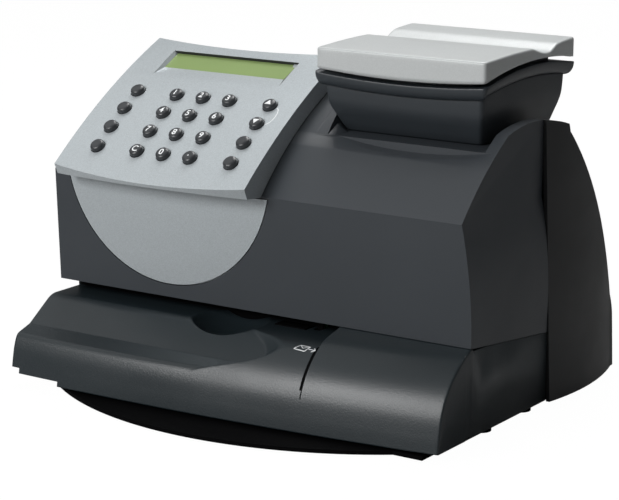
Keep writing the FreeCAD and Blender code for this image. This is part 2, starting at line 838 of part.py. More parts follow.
def display_pocket():
    """Room of the display's recess: a sloping lip, then the seat of the window."""
    left = v.recess_left
    right = v.recess_right
    lip = (v.display_low, -v.display_depth_low)
    top = v.recess_high
    low = v.recess_low
    mouth = slab([(low, 0), lip, (top, -v.display_depth_high), (top, 6), (low, 6)], left, right)
    seat = slab(window_side(0.1), left, v.display_right + 0.1)
    sill = v.display_low + 2.2
    view = slab([(sill, -12), (sill, 0), (top - 1.8, 0), (top - 1.8, -12)], left + 4, v.display_right - 4)
    return mouth.fuse([seat, view])


def window_side(grow):
    low = v.display_low - grow
    high = v.recess_high
    thick = v.window_thick
    return [(low, -v.display_depth_low), (high, -v.display_depth_high),
            (high, -v.display_depth_high - thick - grow), (low, -v.display_depth_low - thick - grow)]


def keypad_place():
    """Frame of the flat keypad board, square to the panel midway between the key rows."""
    middle = -0.5 * v.key_pitch_s
    turn = Rotation(Vector(1, 0, 0), math.degrees(panel_angle(middle)))
    return Placement(Vector(0, *panel_spot(middle, 0)), turn)


def board_bosses():
    place = keypad_place()
    bosses = []
    for x in (-130.5, 1.0):
        for t in (-36.0, 34.0):
            boss = Part.makeCylinder(2.6, 7.8 - t * t / (2 * v.panel_bend), Vector(x, t, -9.0))
            boss.Placement = place
            bosses.append(boss)
    return bosses


def control_panel():
    wall = v.cover_skin
    main = prism(main_side(-v.seam_gap, v.rear_y), (REACH, 0, 0))
    outer = panel_hull(0).cut(main).cut(under_lip(0))
    inner = panel_hull(wall).cut(under_lip(2.0))
    shell = outer.cut(inner)
    pan = slab([(33.5, -1), (66.4, -1), (66.4, -4.8), (v.display_low, -8), (46, -7.8), (33.5, -3.5)],
               v.recess_left - 2.4, v.recess_right + 2.4)
    shell = shell.fuse([pan] + board_bosses()).cut(display_pocket())
    holes = []
    for _, column, row in key_places():
        s = row * v.key_pitch_s
        place = (float(column), *panel_spot(s, -8))
        holes.append(drum(place, panel_normal(s), v.key_radius + v.key_gap, 14))
    return node(formed("ControlPanel", shell.cut(holes)), "control_panel")


def display_window():
    pane = slab(window_side(0), v.recess_left + 0.1, v.display_right)
    return node(formed("DisplayWindow", pane), "display_window")


def display_gasket():
    """Dark strip that closes the recess on the right and along the top."""
    low = v.recess_low + 1.5
    high = v.recess_high
    sill = (v.display_low, -v.display_depth_low + 0.05)
    side = [(low, -0.45), sill, (high, -v.display_depth_high + 0.05), (high, -0.3), (low, -0.2)]
    strip = [(high - 0.7, -1.6), (high, -1.5), (high, -0.3), (high - 0.7, -0.3)]
    right = slab(side, v.display_right + 0.2, v.recess_right)
    top = slab(strip, v.recess_left, v.display_right + 0.3)
    return node(formed("DisplayGasket", right.fuse(top)), "display_gasket")


def display_module():
    low = v.display_low + 2.5
    high = v.recess_high - 2.1
    face = [(low, -5.5), (high, -3.2), (high, -10), (low, -10)]
    glass = slab(face, v.recess_left + 4.4, v.display_right - 4.4)
    card = slab([(44, -9.4), (67, -9.4), (67, -11), (44, -11)], v.recess_left - 3, v.recess_right + 3)
    return node(formed("DisplayModule", glass.fuse(card)), "display_module")


def keypad_mat():
    sheet_low = -9.0
    mat = lump((-126, -34, sheet_low), (-3, 33, sheet_low + 1))
    domes = []
    for _, column, row in key_places():
        t = (row + 0.5) * v.key_pitch_s
        domes.append(Part.makeCone(4.5, 3.0, 1.2, Vector(float(column), t, sheet_low + 1)))
    return node(formed("KeypadMat", mat.fuse(domes), keypad_place()), "keypad_mat")


def keypad_board():
    top = -9.0
    board = lump((-134, -39, top - v.board_thick), (4, 37, top))
    parts = [lump((-90, -20, top - v.board_thick - 1.2), (-70, -8, top - v.board_thick)),
             lump((-40, -26, top - v.board_thick - 1.6), (-16, -18, top - v.board_thick))]
    return node(formed("KeypadBoard", board.fuse(parts), keypad_place()), "keypad_board")


def panel_key(name, column, row):
    """A domed round cap on a wider foot that keeps it in its hole, square to the panel."""
    r = S.key_radius
    rise = S.key_rise
    base = -S.cover_skin - 0.3
    rim = base - S.key_flange
    dome = [(0, 1), (0.2, 1), (0.45, 0.94), (0.68, 0.81), (0.86, 0.59), (0.97, 0.28), (1, 0)]
    cap = turned(name + "_cap", [(r * out, rise * up) for out, up in dome] + [(r, base), (0, base)])
    foot = turned(name + "_foot", [(0, base), (r + 1, base), (r + 1, rim), (1.6, rim - 0.7), (0, rim - 0.7)])
    owner = group(name, [cap, foot])
    angle = S.panel_tilt - S.key_pitch_s * (row * 180 / math.pi) / S.panel_bend
    owner.Placement = Placement(Vector(), Rotation(Vector(1, 0, 0), float(angle)))
    bind(owner, "Placement.Rotation.Angle", angle)
    y = S.panel_y + S.panel_bend * (sine(S.panel_tilt) - sine(angle))
    z = S.panel_height + S.panel_bend * (cosine(angle) - cosine(S.panel_tilt))
    return node(move_to(owner, (column, y, z)), name)


def bib_panel():
    """Round silver infill of the front face, gently domed and held by a rim behind the face."""
    radius = v.bib_radius
    bulge = v.bib_bulge
    ball = (radius ** 2 + bulge ** 2) / (2 * bulge)
    centre = Vector(0, ball - bulge, 0)
    dome = Part.makeSphere(ball, centre).cut(Part.makeSphere(ball - v.cover_skin, centre))
    dome = dome.common(drum((0, -20, 0), (0, 1, 0), radius, 30))
    rim = drum((0, 1.2, 0), (0, 1, 0), radius - 0.5, 3.4).fuse(drum((0, 2.7, 0), (0, 1, 0), radius + 3, 1.9))
    rim = rim.cut(drum((0, -20, 0), (0, 1, 0), radius - 4, 40))
    shell = dome.fuse(rim)
    lean = math.atan2(v.ridge_lean, v.ridge_height - v.slot_top)
    y = v.face_y - (v.bib_height - v.slot_top) * math.tan(lean)
    turn = Rotation(Vector(1, 0, 0), math.degrees(lean))
    shell.Placement = Placement(Vector(v.bib_x, y, v.bib_height), turn)
    shell = shell.common(lump((-REACH, -REACH, 0), (REACH, REACH, v.ridge_height - 1.5)))
    return node(formed("BibPanel", shell), "bib_panel")


# Scale: tray, rim, platter and what carries it.

def rounded_box(low, high, radius):
    box = lump(low, high)
    uprights = [e for e in box.Edges if abs(e.BoundBox.ZLength - (high[2] - low[2])) < 0.01]
    return box.makeFillet(radius, uprights)


def rounded_outline(left, right, front, back, height, radius):
    box = rounded_box((left, front, height), (right, back, height + 1), radius)
    return next(f for f in box.Faces if abs(f.BoundBox.ZMax - height) < 0.01).OuterWire


def edge_height(x, y):
    """Lower edge of the platter: arched along the sides, sagging along the front."""
    middle_y = v.platter_front + 64
    arch = v.arch_rise * (1 - ((y - middle_y) / 64) ** 2)
    half = 0.5 * (v.platter_right - v.platter_left)
    middle_x = 0.5 * (v.platter_right + v.platter_left)
    fade = max(0.0, 1 - max(0.0, y - v.platter_front) / 30) ** 2
    sag = v.front_sag * (1 - min(1.0, abs(x - middle_x) / half) ** 2) * fade
    return v.platter_height - v.skirt_drop + arch - sag


def below_edge(drop):
    """Everything under the platter's lower edge, moved down by a drop."""
    grid = []
    for i in range(13):
        x = v.platter_left - 8 + i * (v.platter_right - v.platter_left + 16) / 12
        stations = [v.platter_front - 8 + j * 9.3 for j in range(15)]
        grid.append([Vector(x, y, edge_height(x, y) - drop) for y in stations])
    surface = Part.BSplineSurface()
    surface.interpolate(grid)
    return surface.toShape().extrude(Vector(0, 0, -60))


def platter_side(inset):
    """Side view of the platter's top with its cross channel."""
    x = v.platter_left - 10
    top = v.platter_height - inset
    rise = v.platter_rise
    channel = v.groove_y
    low = top - 40
    brink = top + 0.5 * rise
    floor = top + 0.6 * rise - v.groove_drop
    front = v.platter_front + inset
    back = v.platter_back - inset
    ledge = (x, front + 1.5, top)
    first = (x, channel - 18, brink)
    last = (x, channel + 14, brink)
    tail = (x, back - 1.5, top + rise)
    dip = [first, (x, channel - 10, brink - 0.55 * v.groove_drop), (x, channel - 3, floor),
           (x, channel + 4, floor), last]
    return wire(
        line((x, front, low), (x, front, top - 1.5)),
        line((x, front, top - 1.5), ledge),
        arc(ledge, (x, 0.5 * (front + channel) - 8, top + 0.35 * rise), first),
        smooth(dip),
        arc(last, (x, 0.5 * (channel + 14 + back), top + 0.8 * rise), tail),
        line(tail, (x, back, top + rise - 1.5)),
        line((x, back, top + rise - 1.5), (x, back, low)),
        line((x, back, low), (x, front, low)),
    )


def platter_hull(inset):
    width = v.platter_right - v.platter_left + 20
    low = (v.platter_left + inset, v.platter_front + inset, v.platter_height - 60)
    high = (v.platter_right - inset, v.platter_back - inset, v.platter_height + 25)
    return prism(platter_side(inset), (width, 0, 0)).common(rounded_box(low, high, v.platter_corner - inset))


def scale_platter():
    shell = platter_hull(0).cut(platter_hull(v.platter_skin)).cut(below_edge(0))
    return node(formed("ScalePlatter", shell), "scale_platter")


def carrier_block(inset, low, high, radius):
    """A block under the platter, between two depths below its top."""
    corner = (v.platter_left + inset, v.platter_front + inset, v.platter_height - low)
    far = (v.platter_right - inset, v.platter_back - inset, v.platter_height - high)
    return rounded_box(corner, far, radius)


def platter_carrier():
    """Dark core under the platter, with the post that presses on the load cell."""
    roof = v.platter_height - 6.7
    rib = roof - 10
    core = carrier_block(11, 25.7, -25, 5).common(prism(platter_side(v.platter_skin), (REACH, 0, 0)))
    core = core.cut(carrier_block(14, 34.7, 6.7, 4))
    post = lump((100, 20, v.scale_seat + 22 + v.platter_travel + 0.3), (114, 34, roof + 1))
    ribs = [lump((v.platter_left + 12, 25, rib), (v.platter_right - 12, 29, roof)),
            lump((79, v.platter_front + 12, rib), (83, v.platter_back - 12, roof))]
    return node(formed("PlatterCarrier", core.fuse([post] + ribs)), "platter_carrier")


def scale_rim():
    left = v.platter_left - 2.2
    front = v.platter_front + 0.4
    back = v.platter_back + 1.3
    right = v.platter_right + 0.1
    low = v.platter_height - 45
    high = v.platter_height + 5
    width = v.rim_width
    ring = rounded_box((left, front, low), (right, back, high), v.platter_corner + 0.5)
    room = rounded_box((left + width, front + width, low - 10), (right - width, back - width, high + 10), 4)
    ring = ring.cut(room)
    band = ring.common(below_edge(v.rim_gap)).cut(below_edge(v.rim_gap + v.rim_thick))
    return node(formed("ScaleRim", band), "scale_rim")


def tray_hull(inset):
    """The tray flares out from its foot to the rim."""
    sections = []
    stretch = v.scale_rise / 53.7
    for height, flare in ((0, 0), (5, 0.25), (11.5, 0.51), (17, 0.73), (22.5, 0.9), (31, 1.0), (45, 1.04)):
        sections.append(rounded_outline(
            v.tray_foot_left - v.seat_flare * flare + inset, v.tray_foot_right + 7 * flare - inset,
            v.tray_foot_front - 12.5 * flare + inset, v.tray_foot_back + 7.7 * flare - inset,
            v.scale_seat + height * stretch, v.platter_corner + 0.5 - inset))
    return Part.makeLoft(sections, True, False)


def scale_tray():
    rim_under = v.rim_gap + v.rim_thick
    inner = tray_hull(v.tray_skin).cut(lump((0, -100, 0), (200, 200, v.scale_seat + 3)))
    shell = tray_hull(0).common(below_edge(rim_under)).cut(inner)
    stand = lump((45, 20, v.scale_seat + 2), (60, 34, v.scale_seat + 10))
    base = v.scale_seat + 2
    posts = [lump((x, y, base), (x + 4, y + 4, base + 2)) for x in (67, 95) for y in (4, 40)]
    return node(formed("ScaleTray", shell.fuse([stand] + posts)), "scale_tray")


def load_cell():
    """Bending beam: fixed at the left end, loaded at the right end."""
    low = v.scale_seat + 10
    beam = block("load_cell_beam", (45, 115), (21, 33), (low, low + 12))
    waist = [rod("load_cell_eye_%d" % i, (x, 20, low + 6), 4, 14, "y") for i, x in enumerate((75, 85))]
    slit = block("load_cell_slit", (75, 85), (20, 34), (low + 4, low + 8))
    return node(cut("LoadCell", beam, waist + [slit]), "load_cell")


def scale_board():
    low = S.scale_seat + 4
    board = block("scale_board_card", (66, 100), (3, 45), (low, low + 1.6))
    chip = block("scale_board_chip", (74, 84), (8, 18), (low + 1.6, low + 2.8))
    return node(fused("ScaleBoard", [board, chip]), "scale_board")


# Print mechanism inside the housing.

def carriage_frame():
    """Bent steel frame: a back plate on two legs and two cheeks that hold the rod."""
    left = S.frame_left
    right = S.frame_right
    back = S.frame_back_y
    steel = S.frame_steel
    floor = S.foot_drop + S.pan_floor
    axis = S.rod_height
    plate = block("frame_plate", (left, right), (back - steel, back), (axis - 30, axis + 42))
    legs = [block("frame_leg_%d" % i, (x, x + 32), (back - steel, back), (floor, axis - 29))
            for i, x in enumerate((left, right - 40))]
    feet = [block("frame_foot_%d" % i, (x, x + 32), (back - 1, back + 8), (floor, floor + steel))
            for i, x in enumerate((left, right - 40))]
    cheeks = [block("frame_cheek_%d" % i, (x, x + steel), (S.rod_y - 9, back), (axis - 14, axis + 16))
              for i, x in enumerate((left, right - steel))]
    whole = fused("frame_steel_work", [plate] + legs + feet + cheeks)
    bore = rod("frame_rod_hole", (left - 5, S.rod_y, S.rod_height), S.rod_radius, right - left + 10, "x")
    eye = S.shaft_radius + S.running_gap
    holes = [rod("frame_shaft_hole_%d" % i, (x, back - 3, S.gear_height), eye, 6, "y")
             for i, x in enumerate((S.gear_x, S.idler_x))]
    holes.append(rod("frame_motor_hole", (S.gear_x - S.gear_spread, back - 3, S.gear_height), 4, 6, "y"))
    return node(cut("CarriageFrame", whole, [bore] + holes), "carriage_frame")


def carriage_rod():
    length = S.frame_right - S.frame_left + 4
    start = (S.frame_left - 2, S.rod_y, S.rod_height)
    return node(rod("CarriageRod", start, S.rod_radius, length, "x"), "carriage_rod")


def print_carriage():
    """Cradle that slides along the rod with the ink cartridge."""
    middle = S.carriage_park_x
    left = middle - S.carriage_width / 2
    right = middle + S.carriage_width / 2
    front = S.carriage_front
    back = S.carriage_back
    low = S.carriage_low
    high = S.carriage_high
    shell = block("carriage_block", (left, right), (front, back), (low, high))
    pocket = block("carriage_pocket", (left + 3, right - 3), (front + 3, S.rod_y - 7), (low + 4, high + 1))
    mouth = block("carriage_mouth", (left + 10, right - 10), (front + 8, S.rod_y - 12), (low - 1, low + 5))
    bore = rod("carriage_bore", (left - 1, S.rod_y, S.rod_height), S.rod_radius + S.running_gap, 45, "x")
    below_rod = S.rod_height - 10
    relief = block("carriage_relief", (left - 1, right + 1), (S.rod_y - 7, back + 1), (low - 1, below_rod))
    solid = cut("carriage_cradle", shell, [pocket, mouth, bore, relief])
    tab_top = S.gear_height - S.pulley_radius - 2
    tab = block("carriage_tab", (middle - 6, middle + 6), (S.rod_y + 2, S.rod_y + 5), (high - 1, tab_top))
    return node(fused("PrintCarriage", [solid, tab]), "print_carriage")


def ink_cartridge():
    middle = S.carriage_park_x
    half = S.carriage_width / 2 - 3.2
    front = S.carriage_front
    low = S.carriage_low + 4.2
    back = S.rod_y - 7.2
    tank = block("cartridge_tank", (middle - half, middle + half), (front + 3.2, back), (low, low + 46))
    nozzle = half - 7.2
    head = block("cartridge_head", (middle - nozzle, middle + nozzle), (front + 8.2, back - 5),
                 (S.carriage_low + 0.4, low + 1))
    return node(fused("InkCartridge", [tank, head]), "ink_cartridge")


def gear_blank(teeth, front):
    """Spur gear of module 1 with slim teeth, centred on the Y axis."""
    root = teeth / 2 - 1.25
    tip = teeth / 2 + 0.9
    corners = []
    for i in range(teeth):
        middle = 2 * math.pi * i / teeth
        for radius, half in ((root, 1.05), (teeth / 2, 0.6), (tip, 0.32)):
            corners.append((radius, middle - half / radius))
        for radius, half in ((tip, 0.32), (teeth / 2, 0.6), (root, 1.05)):
            corners.append((radius, middle + half / radius))
    spots = [Vector(r * math.sin(a), front, r * math.cos(a)) for r, a in corners]
    return prism(Part.makePolygon(spots + spots[:1]), (0, v.gear_face, 0))


def belt_wheel(front):
    """Flanged belt pulley about the Y axis."""
    hub = drum((0, front, 0), (0, 1, 0), v.pulley_radius, v.belt_width + 1)
    ends = (front - 0.8, front + v.belt_width + 1)
    return hub.fuse([drum((0, y, 0), (0, 1, 0), v.pulley_radius + 2.4, 0.8) for y in ends])


def wheel_axle(front):
    """Shaft that runs from a wheel into the back plate."""
    return drum((0, front, 0), (0, 1, 0), v.shaft_radius, v.frame_back_y + 1 - front)


def drive_gear():
    front = v.gear_front - v.belt_width - 2.6
    wheel = gear_blank(int(v.gear_teeth), v.gear_front).fuse([belt_wheel(front), wheel_axle(front)])
    lightening = [drum((13 * math.sin(a), -50, 13 * math.cos(a)), (0, 1, 0), 3, 100)
                  for a in (0.5 * math.pi * i + 0.4 for i in range(4))]
    place = Placement(Vector(v.gear_x, 0, v.gear_height), Rotation())
    return node(formed("DriveGear", wheel.cut(lightening), place), "drive_gear")


def motor_pinion():
    """Turned by half a tooth, so that its teeth stand in the gaps of the drive gear."""
    wheel = gear_blank(int(v.pinion_teeth), v.gear_front)
    wheel = wheel.fuse(drum((0, v.gear_front, 0), (0, 1, 0), 1.5, v.gear_face + 5))
    half_tooth = Rotation(Vector(0, 1, 0), 180 / v.pinion_teeth)
    place = Placement(Vector(v.gear_x - v.gear_spread, 0, v.gear_height), half_tooth)
    return node(formed("MotorPinion", wheel, place), "motor_pinion")


def idler_pulley():
    front = v.gear_front - v.belt_width - 2.6
    wheel = belt_wheel(front).fuse(wheel_axle(front))
    dots = [drum((5 * math.sin(a), front - 2, 5 * math.cos(a)), (0, 1, 0), 1.2, 3) for a in (0, 2.1, 4.2)]
    place = Placement(Vector(v.idler_x, 0, v.gear_height), Rotation())
    return node(formed("IdlerPulley", wheel.cut(dots), place), "idler_pulley")


def racetrack(radius, front, width):
    """A flat loop around both belt pulleys, as a solid plate."""
    ends = [drum((x, front, v.gear_height), (0, 1, 0), radius, width) for x in (v.gear_x, v.idler_x)]
    axis = v.gear_height
    middle = lump((v.idler_x, front, axis - radius), (v.gear_x, front + width, axis + radius))
    return middle.fuse(ends)


def carriage_belt():
    front = v.gear_front - v.belt_width - 2.6 + 0.5
    inner = v.pulley_radius + 0.3
    loop = racetrack(inner + v.belt_thick, front, v.belt_width)
    loop = loop.cut(racetrack(inner, front - 1, v.belt_width + 2))
    return node(formed("CarriageBelt", loop), "carriage_belt")


def carriage_motor():
    """Motor behind the back plate; the pinion's shaft runs in its bore."""
    x = S.gear_x - S.gear_spread
    can = rod("motor_can", (x, S.frame_back_y, S.gear_height), 14, 26, "y")
    tail = rod("motor_tail", (x, S.frame_back_y + 25, S.gear_height), 4, 3, "y")
    bore = rod("motor_bore", (x, S.frame_back_y - 1, S.gear_height), 1.5 + S.running_gap, 8, "y")
    return node(cut("CarriageMotor", fused("motor_body", [can, tail]), [bore]), "carriage_motor")


def cap_station():
    """Post with a soft lip that closes the cartridge's nozzles when parked."""
    middle = S.carriage_park_x
    floor = S.foot_drop + S.pan_floor
    post = block("cap_post", (middle - 10, middle + 10), (-52, -38), (floor, 56))
    foot = block("cap_foot", (middle - 16, middle + 16), (-56, -34), (floor, floor + 3))
    top = block("cap_top", (middle - 13, middle + 13), (-54, -36), (55, 59))
    lip = block("cap_lip", (middle - 9, middle + 9), (-51, -39), (58, S.carriage_low - 0.6))
    well = block("cap_well", (middle - 7.5, middle + 7.5), (-49.5, -40.5), (58.5, 62))
    return node(cut("CapStation", fused("cap_solid", [post, foot, top, lip]), [well]), "cap_station")


def waste_ink_pad():
    """Felt strip on the deck under the print zone."""
    deck = S.deck_height
    pad = block("WasteInkPad", (12, 35), (S.face_y + 6, S.guide_y - 3), (deck, deck + 0.8))
    return node(pad, "waste_ink_pad")


def sensor_lever():
    """Feeler that the envelope's edge pushes back."""
    arm = body("SensorLever")
    sketch = sketch_on(arm, "lever_side", "YZ_Plane")
    draw_outline(sketch, [(-2.2, -2.5), (2.2, -2.5), (2.4, 2), (1.2, 10), (1.4, 17), (-0.9, 17.6), (-1.4, 10),
                          (-2.4, 2)])
    plate = arm.newObject("PartDesign::Pad", "lever_plate")
    plate.Profile = sketch
    plate.Type = "Length"
    plate.Length = 4
    plate.Midplane = True
    pin_sketch = sketch_on(arm, "lever_pin_circle", "YZ_Plane")
    draw_circle(pin_sketch, 1.5)
    pin = arm.newObject("PartDesign::Pad", "lever_pin")
    pin.Profile = pin_sketch
    pin.Length = 11.4
    pin.Midplane = True
    return node(move_to(arm, (41, S.guide_y - 4, 40)), "sensor_lever")


def main_board():
    low = 10.4
    card = block("board_card", (-120, 60), (40, 124), (low, low + S.board_thick))
    top = low + S.board_thick
    spots = ((-60, 60, 24, 24), (-20, 60, 18, 12), (-20, 84, 14, 20), (14, 62, 12, 12))
    chips = [block("board_chip_%d" % i, (x, x + a), (y, y + b), (top, top + 1.6))
             for i, (x, y, a, b) in enumerate(spots)]
    cans = [rod("board_can_%d" % i, (x, 100, top), 5, 14) for i, x in enumerate((16, 30, 44))]
    plugs = [block("board_plug_%d" % i, (x, x + 22), (44, 50), (top, top + 8))
             for i, x in enumerate((-110, -70, 20))]
    holes = [rod("board_hole_%d" % i, (x, y, low - 1), 1.6, 5) for i, (x, y) in enumerate(board_corners())]
    solid = fused("board_solid", [card] + chips + cans + plugs)
    return node(cut("MainBoard", solid, holes), "main_board")


def power_socket():
    low = 10.4 + S.board_thick
    shell = block("power_shell", (-111.5, -98.5), (112, 134), (low, 29.5))
    hole = rod("power_hole", (-105, 120, 22.5), 3.6, 20, "y")
    pin = rod("power_pin", (-105, 118, 22.5), 1.1, 14, "y")
    return node(fused("PowerSocket", [cut("power_ring", shell, [hole]), pin]), "power_socket")


def data_socket():
    low = 10.4 + S.board_thick
    shell = block("data_shell", (-83.5, -68.5), (112, 134), (low, 29.5))
    hole = block("data_hole", (-81.5, -70.5), (122, 140), (15, 26.5))
    tongue = block("data_tongue", (-79, -73), (120, 131), (19, 22))
    return node(fused("DataSocket", [cut("data_ring", shell, [hole]), tongue]), "data_socket")


def build():
    """Makes every sub-part."""
    for make in (
        base_chassis, foot_pads, cover_screws, front_cover, main_cover, rear_cover, control_panel, bib_panel,
        display_window, display_gasket, display_module, keypad_mat, keypad_board,
    ):
        make()
    for name, column, row in key_places():
        panel_key(name, column, row)
    for make in (
        scale_tray, scale_rim, load_cell, scale_board, scale_platter, platter_carrier,
        carriage_frame, carriage_rod, print_carriage, ink_cartridge, drive_gear, motor_pinion, idler_pulley,
        carriage_belt, carriage_motor, cap_station, waste_ink_pad, sensor_lever,
        main_board, power_socket, data_socket,
    ):
        make()
    doc.recompute()


def check():
    """Stops the run when anything failed to build."""
    faults = []
    for thing in doc.Objects:
        if {"Invalid", "Error"} & set(thing.State):
            faults.append("%s: %s" % (thing.Name, thing.State))
    for thing in NODES:
        if thing.Shape.isNull() or not thing.Shape.isValid() or not thing.Shape.Solids:
            faults.append("%s: bad shape" % thing.Label)
    if faults:
        raise RuntimeError("; ".join(faults))


def write():
    os.makedirs("parts", exist_ok=True)
    for thing in NODES:
        thing.Shape.exportStep("parts/%s.step" % thing.Label)


build()
check()
write()
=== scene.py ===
"""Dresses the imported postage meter: moulded covers, keys, scale, finishes, light and camera."""

import math
from functools import cache

import bmesh
import bpy
import numpy as np
from bpy.props import FloatProperty, FloatVectorProperty, IntProperty, PointerProperty
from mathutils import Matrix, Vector


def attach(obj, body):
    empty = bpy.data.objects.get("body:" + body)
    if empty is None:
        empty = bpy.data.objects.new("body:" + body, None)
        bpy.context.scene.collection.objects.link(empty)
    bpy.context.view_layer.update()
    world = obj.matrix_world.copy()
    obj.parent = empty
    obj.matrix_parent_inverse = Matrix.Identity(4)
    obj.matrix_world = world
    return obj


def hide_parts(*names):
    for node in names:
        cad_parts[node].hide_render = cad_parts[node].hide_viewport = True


bl_info = {
    "name": "Postage meter dressing",
    "version": (1, 0, 0),
    "blender": (4, 5, 0),
    "location": "3D View > Sidebar > Meter",
    "description": "Builds the visible skins, finishes and stage of a desktop postage meter",
    "category": "Object",
}

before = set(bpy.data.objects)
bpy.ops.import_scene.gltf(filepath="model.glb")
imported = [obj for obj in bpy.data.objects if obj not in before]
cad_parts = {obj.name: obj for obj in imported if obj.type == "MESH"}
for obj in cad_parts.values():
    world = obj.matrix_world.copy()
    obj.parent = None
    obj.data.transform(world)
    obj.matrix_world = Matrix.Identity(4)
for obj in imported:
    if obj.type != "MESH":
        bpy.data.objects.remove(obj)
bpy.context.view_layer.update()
MM = 0.001
INK = 0.03  # how far the marks stand off the key caps, in millimetres


# Named sizes and colours that a user would change

class MeterSizes(bpy.types.PropertyGroup):
    """Sizes of the skins, in millimetres."""
    edge: FloatProperty(name="Edge rounding", description="Bevel on moulded edges", default=0.9, min=0.0)
    panel_bend: FloatProperty(name="Panel bend", description="Side-view radius of the panel", default=450.0)
    panel_tilt: FloatProperty(name="Panel tilt", description="Slope at the second key row, degrees",
                              default=34.1)
    panel_y: FloatProperty(name="Panel Y", description="Panel surface at the second key row", default=-40.2)
    panel_z: FloatProperty(name="Panel Z", description="Panel surface at the second key row", default=175.3)
    key_radius: FloatProperty(name="Key radius", description="Radius of a key cap", default=4.75)
    key_rise: FloatProperty(name="Key rise", description="Height of a key cap's dome", default=3.4)
    key_pitch_x: FloatProperty(name="Key pitch across", description="Between the number columns",
                               default=21.0)
    key_pitch_s: FloatProperty(name="Key pitch down", description="Between the key rows", default=17.4)
    key_sides: IntProperty(name="Key sides", description="Points around a key cap", default=64, min=12)
    deck_height: FloatProperty(name="Deck height", description="Flat deck of the front cover", default=52.6)
    slot_top: FloatProperty(name="Slot top", description="Seam under the front face", default=60.7)
    cover_half: FloatProperty(name="Half width", description="Half width of the covers", default=156.9)
    stop_x: FloatProperty(name="Stop edge", description="Left edge of the raised part", default=64.5)
    platter_height: FloatProperty(name="Platter height", description="Top of the platter's front edge",
                                  default=224.7)


class MeterColours(bpy.types.PropertyGroup):
    """Base colours of the finishes."""
    body: FloatVectorProperty(name="Body", description="Front face and slope", subtype="COLOR",
                              default=(0.034, 0.040, 0.047))
    deck: FloatVectorProperty(name="Deck", description="Front cover", subtype="COLOR",
                              default=(0.014, 0.021, 0.025))
    rear: FloatVectorProperty(name="Rear", description="Rear cover", subtype="COLOR",
                              default=(0.017, 0.018, 0.019))
    silver: FloatVectorProperty(name="Silver", description="Panel and bib paint", subtype="COLOR",
                                default=(0.46, 0.50, 0.52))
    platter: FloatVectorProperty(name="Platter", description="Weighing platter", subtype="COLOR",
                                 default=(0.52, 0.54, 0.54))
    rim: FloatVectorProperty(name="Rim", description="Rim and tray of the scale", subtype="COLOR",
                             default=(0.028, 0.034, 0.040))
    key: FloatVectorProperty(name="Key", description="Key caps", subtype="COLOR",
                             default=(0.035, 0.038, 0.042))
    display: FloatVectorProperty(name="Display", description="Character display", subtype="COLOR",
                                 default=(0.235, 0.33, 0.115))
    legend: FloatVectorProperty(name="Legend", description="Printed marks", subtype="COLOR",
                                default=(0.85, 0.87, 0.88))


def sizes():
    """The sizes that the user can change."""
    return bpy.context.scene.meter_sizes


def colours():
    """The colours that the user can change."""
    return bpy.context.scene.meter_colours


# Mesh helpers

def mesh_object(name, points, faces, sharp=40.0):
    """A smooth-shaded object from points in millimetres and rows of corner numbers."""
    mesh = bpy.data.meshes.new(name)
    mesh.from_pydata((np.asarray(points, float) * MM).tolist(), [], np.asarray(faces).tolist())
    mesh.polygons.foreach_set("use_smooth", np.ones(len(mesh.polygons), dtype=bool))
    mesh.set_sharp_from_angle(angle=math.radians(sharp))
    mesh.update()
    piece = bpy.data.objects.new(name, mesh)
    bpy.context.scene.collection.objects.link(piece)
    return piece


def grid_faces(rows, columns):
    """Quads between neighbouring points of a grid, numbered row by row."""
    row, column = np.meshgrid(np.arange(rows - 1), np.arange(columns - 1), indexing="ij")
    first = row * columns + column
    return np.stack([first, first + columns, first + columns + 1, first + 1], axis=-1).reshape(-1, 4)


def flat_grid(name, grid, flipped=False):
    """One object from a single (rows, columns, 3) grid; flipped turns its faces over."""
    faces = grid_faces(*grid.shape[:2])
    return mesh_object(name, grid.reshape(-1, 3), faces[:, ::-1] if flipped else faces)


def welded(piece, turned):
    """Merges points within 0.01 mm of each other and, if asked to, turns every face outwards."""
    work = bmesh.new()
    work.from_mesh(piece.data)
    bmesh.ops.remove_doubles(work, verts=work.verts, dist=0.01 * MM)
    if turned:
        bmesh.ops.recalc_face_normals(work, faces=work.faces)
        middle = sum((v.co for v in work.verts), Vector()) / len(work.verts)
        if sum(f.normal.dot(f.calc_center_median() - middle) * f.calc_area() for f in work.faces) < 0:
            bmesh.ops.reverse_faces(work, faces=work.faces)
    work.to_mesh(piece.data)
    work.free()


def joined(name, grids, sharp=40.0, turned=True):
    """One object from several (rows, columns, 3) grids whose shared edges are merged."""
    points, faces, start = [], [], 0
    for grid in grids:
        rows, columns = grid.shape[:2]
        points.append(grid.reshape(-1, 3))
        faces.append(grid_faces(rows, columns) + start)
        start += rows * columns
    piece = mesh_object(name, np.concatenate(points), np.concatenate(faces), sharp)
    welded(piece, turned)
    piece.data.set_sharp_from_angle(angle=math.radians(sharp))
    return piece


def through(points, knots, at):
    """Smooth curve through points: cubic pieces whose slopes are the points' central differences."""
    slope = np.gradient(points, knots, axis=0)
    first = np.clip(np.searchsorted(knots, at, side="right") - 1, 0, len(knots) - 2)
    shape = (-1,) + (1,) * (points.ndim - 1)
    span = (knots[first + 1] - knots[first]).reshape(shape)
    u = (at - knots[first]).reshape(shape) / span
    return ((2 * u ** 3 - 3 * u ** 2 + 1) * points[first] + (3 * u ** 2 - 2 * u ** 3) * points[first + 1]
            + (u ** 3 - 2 * u ** 2 + u) * span * slope[first] + (u ** 3 - u ** 2) * span * slope[first + 1])


def soft_min(a, b, reach):
    """The lower of two heights, rounded off where they come nearer than a reach."""
    near = np.clip(reach - np.abs(a - b), 0, None) / reach
    return np.minimum(a, b) - 0.25 * reach * near ** 2


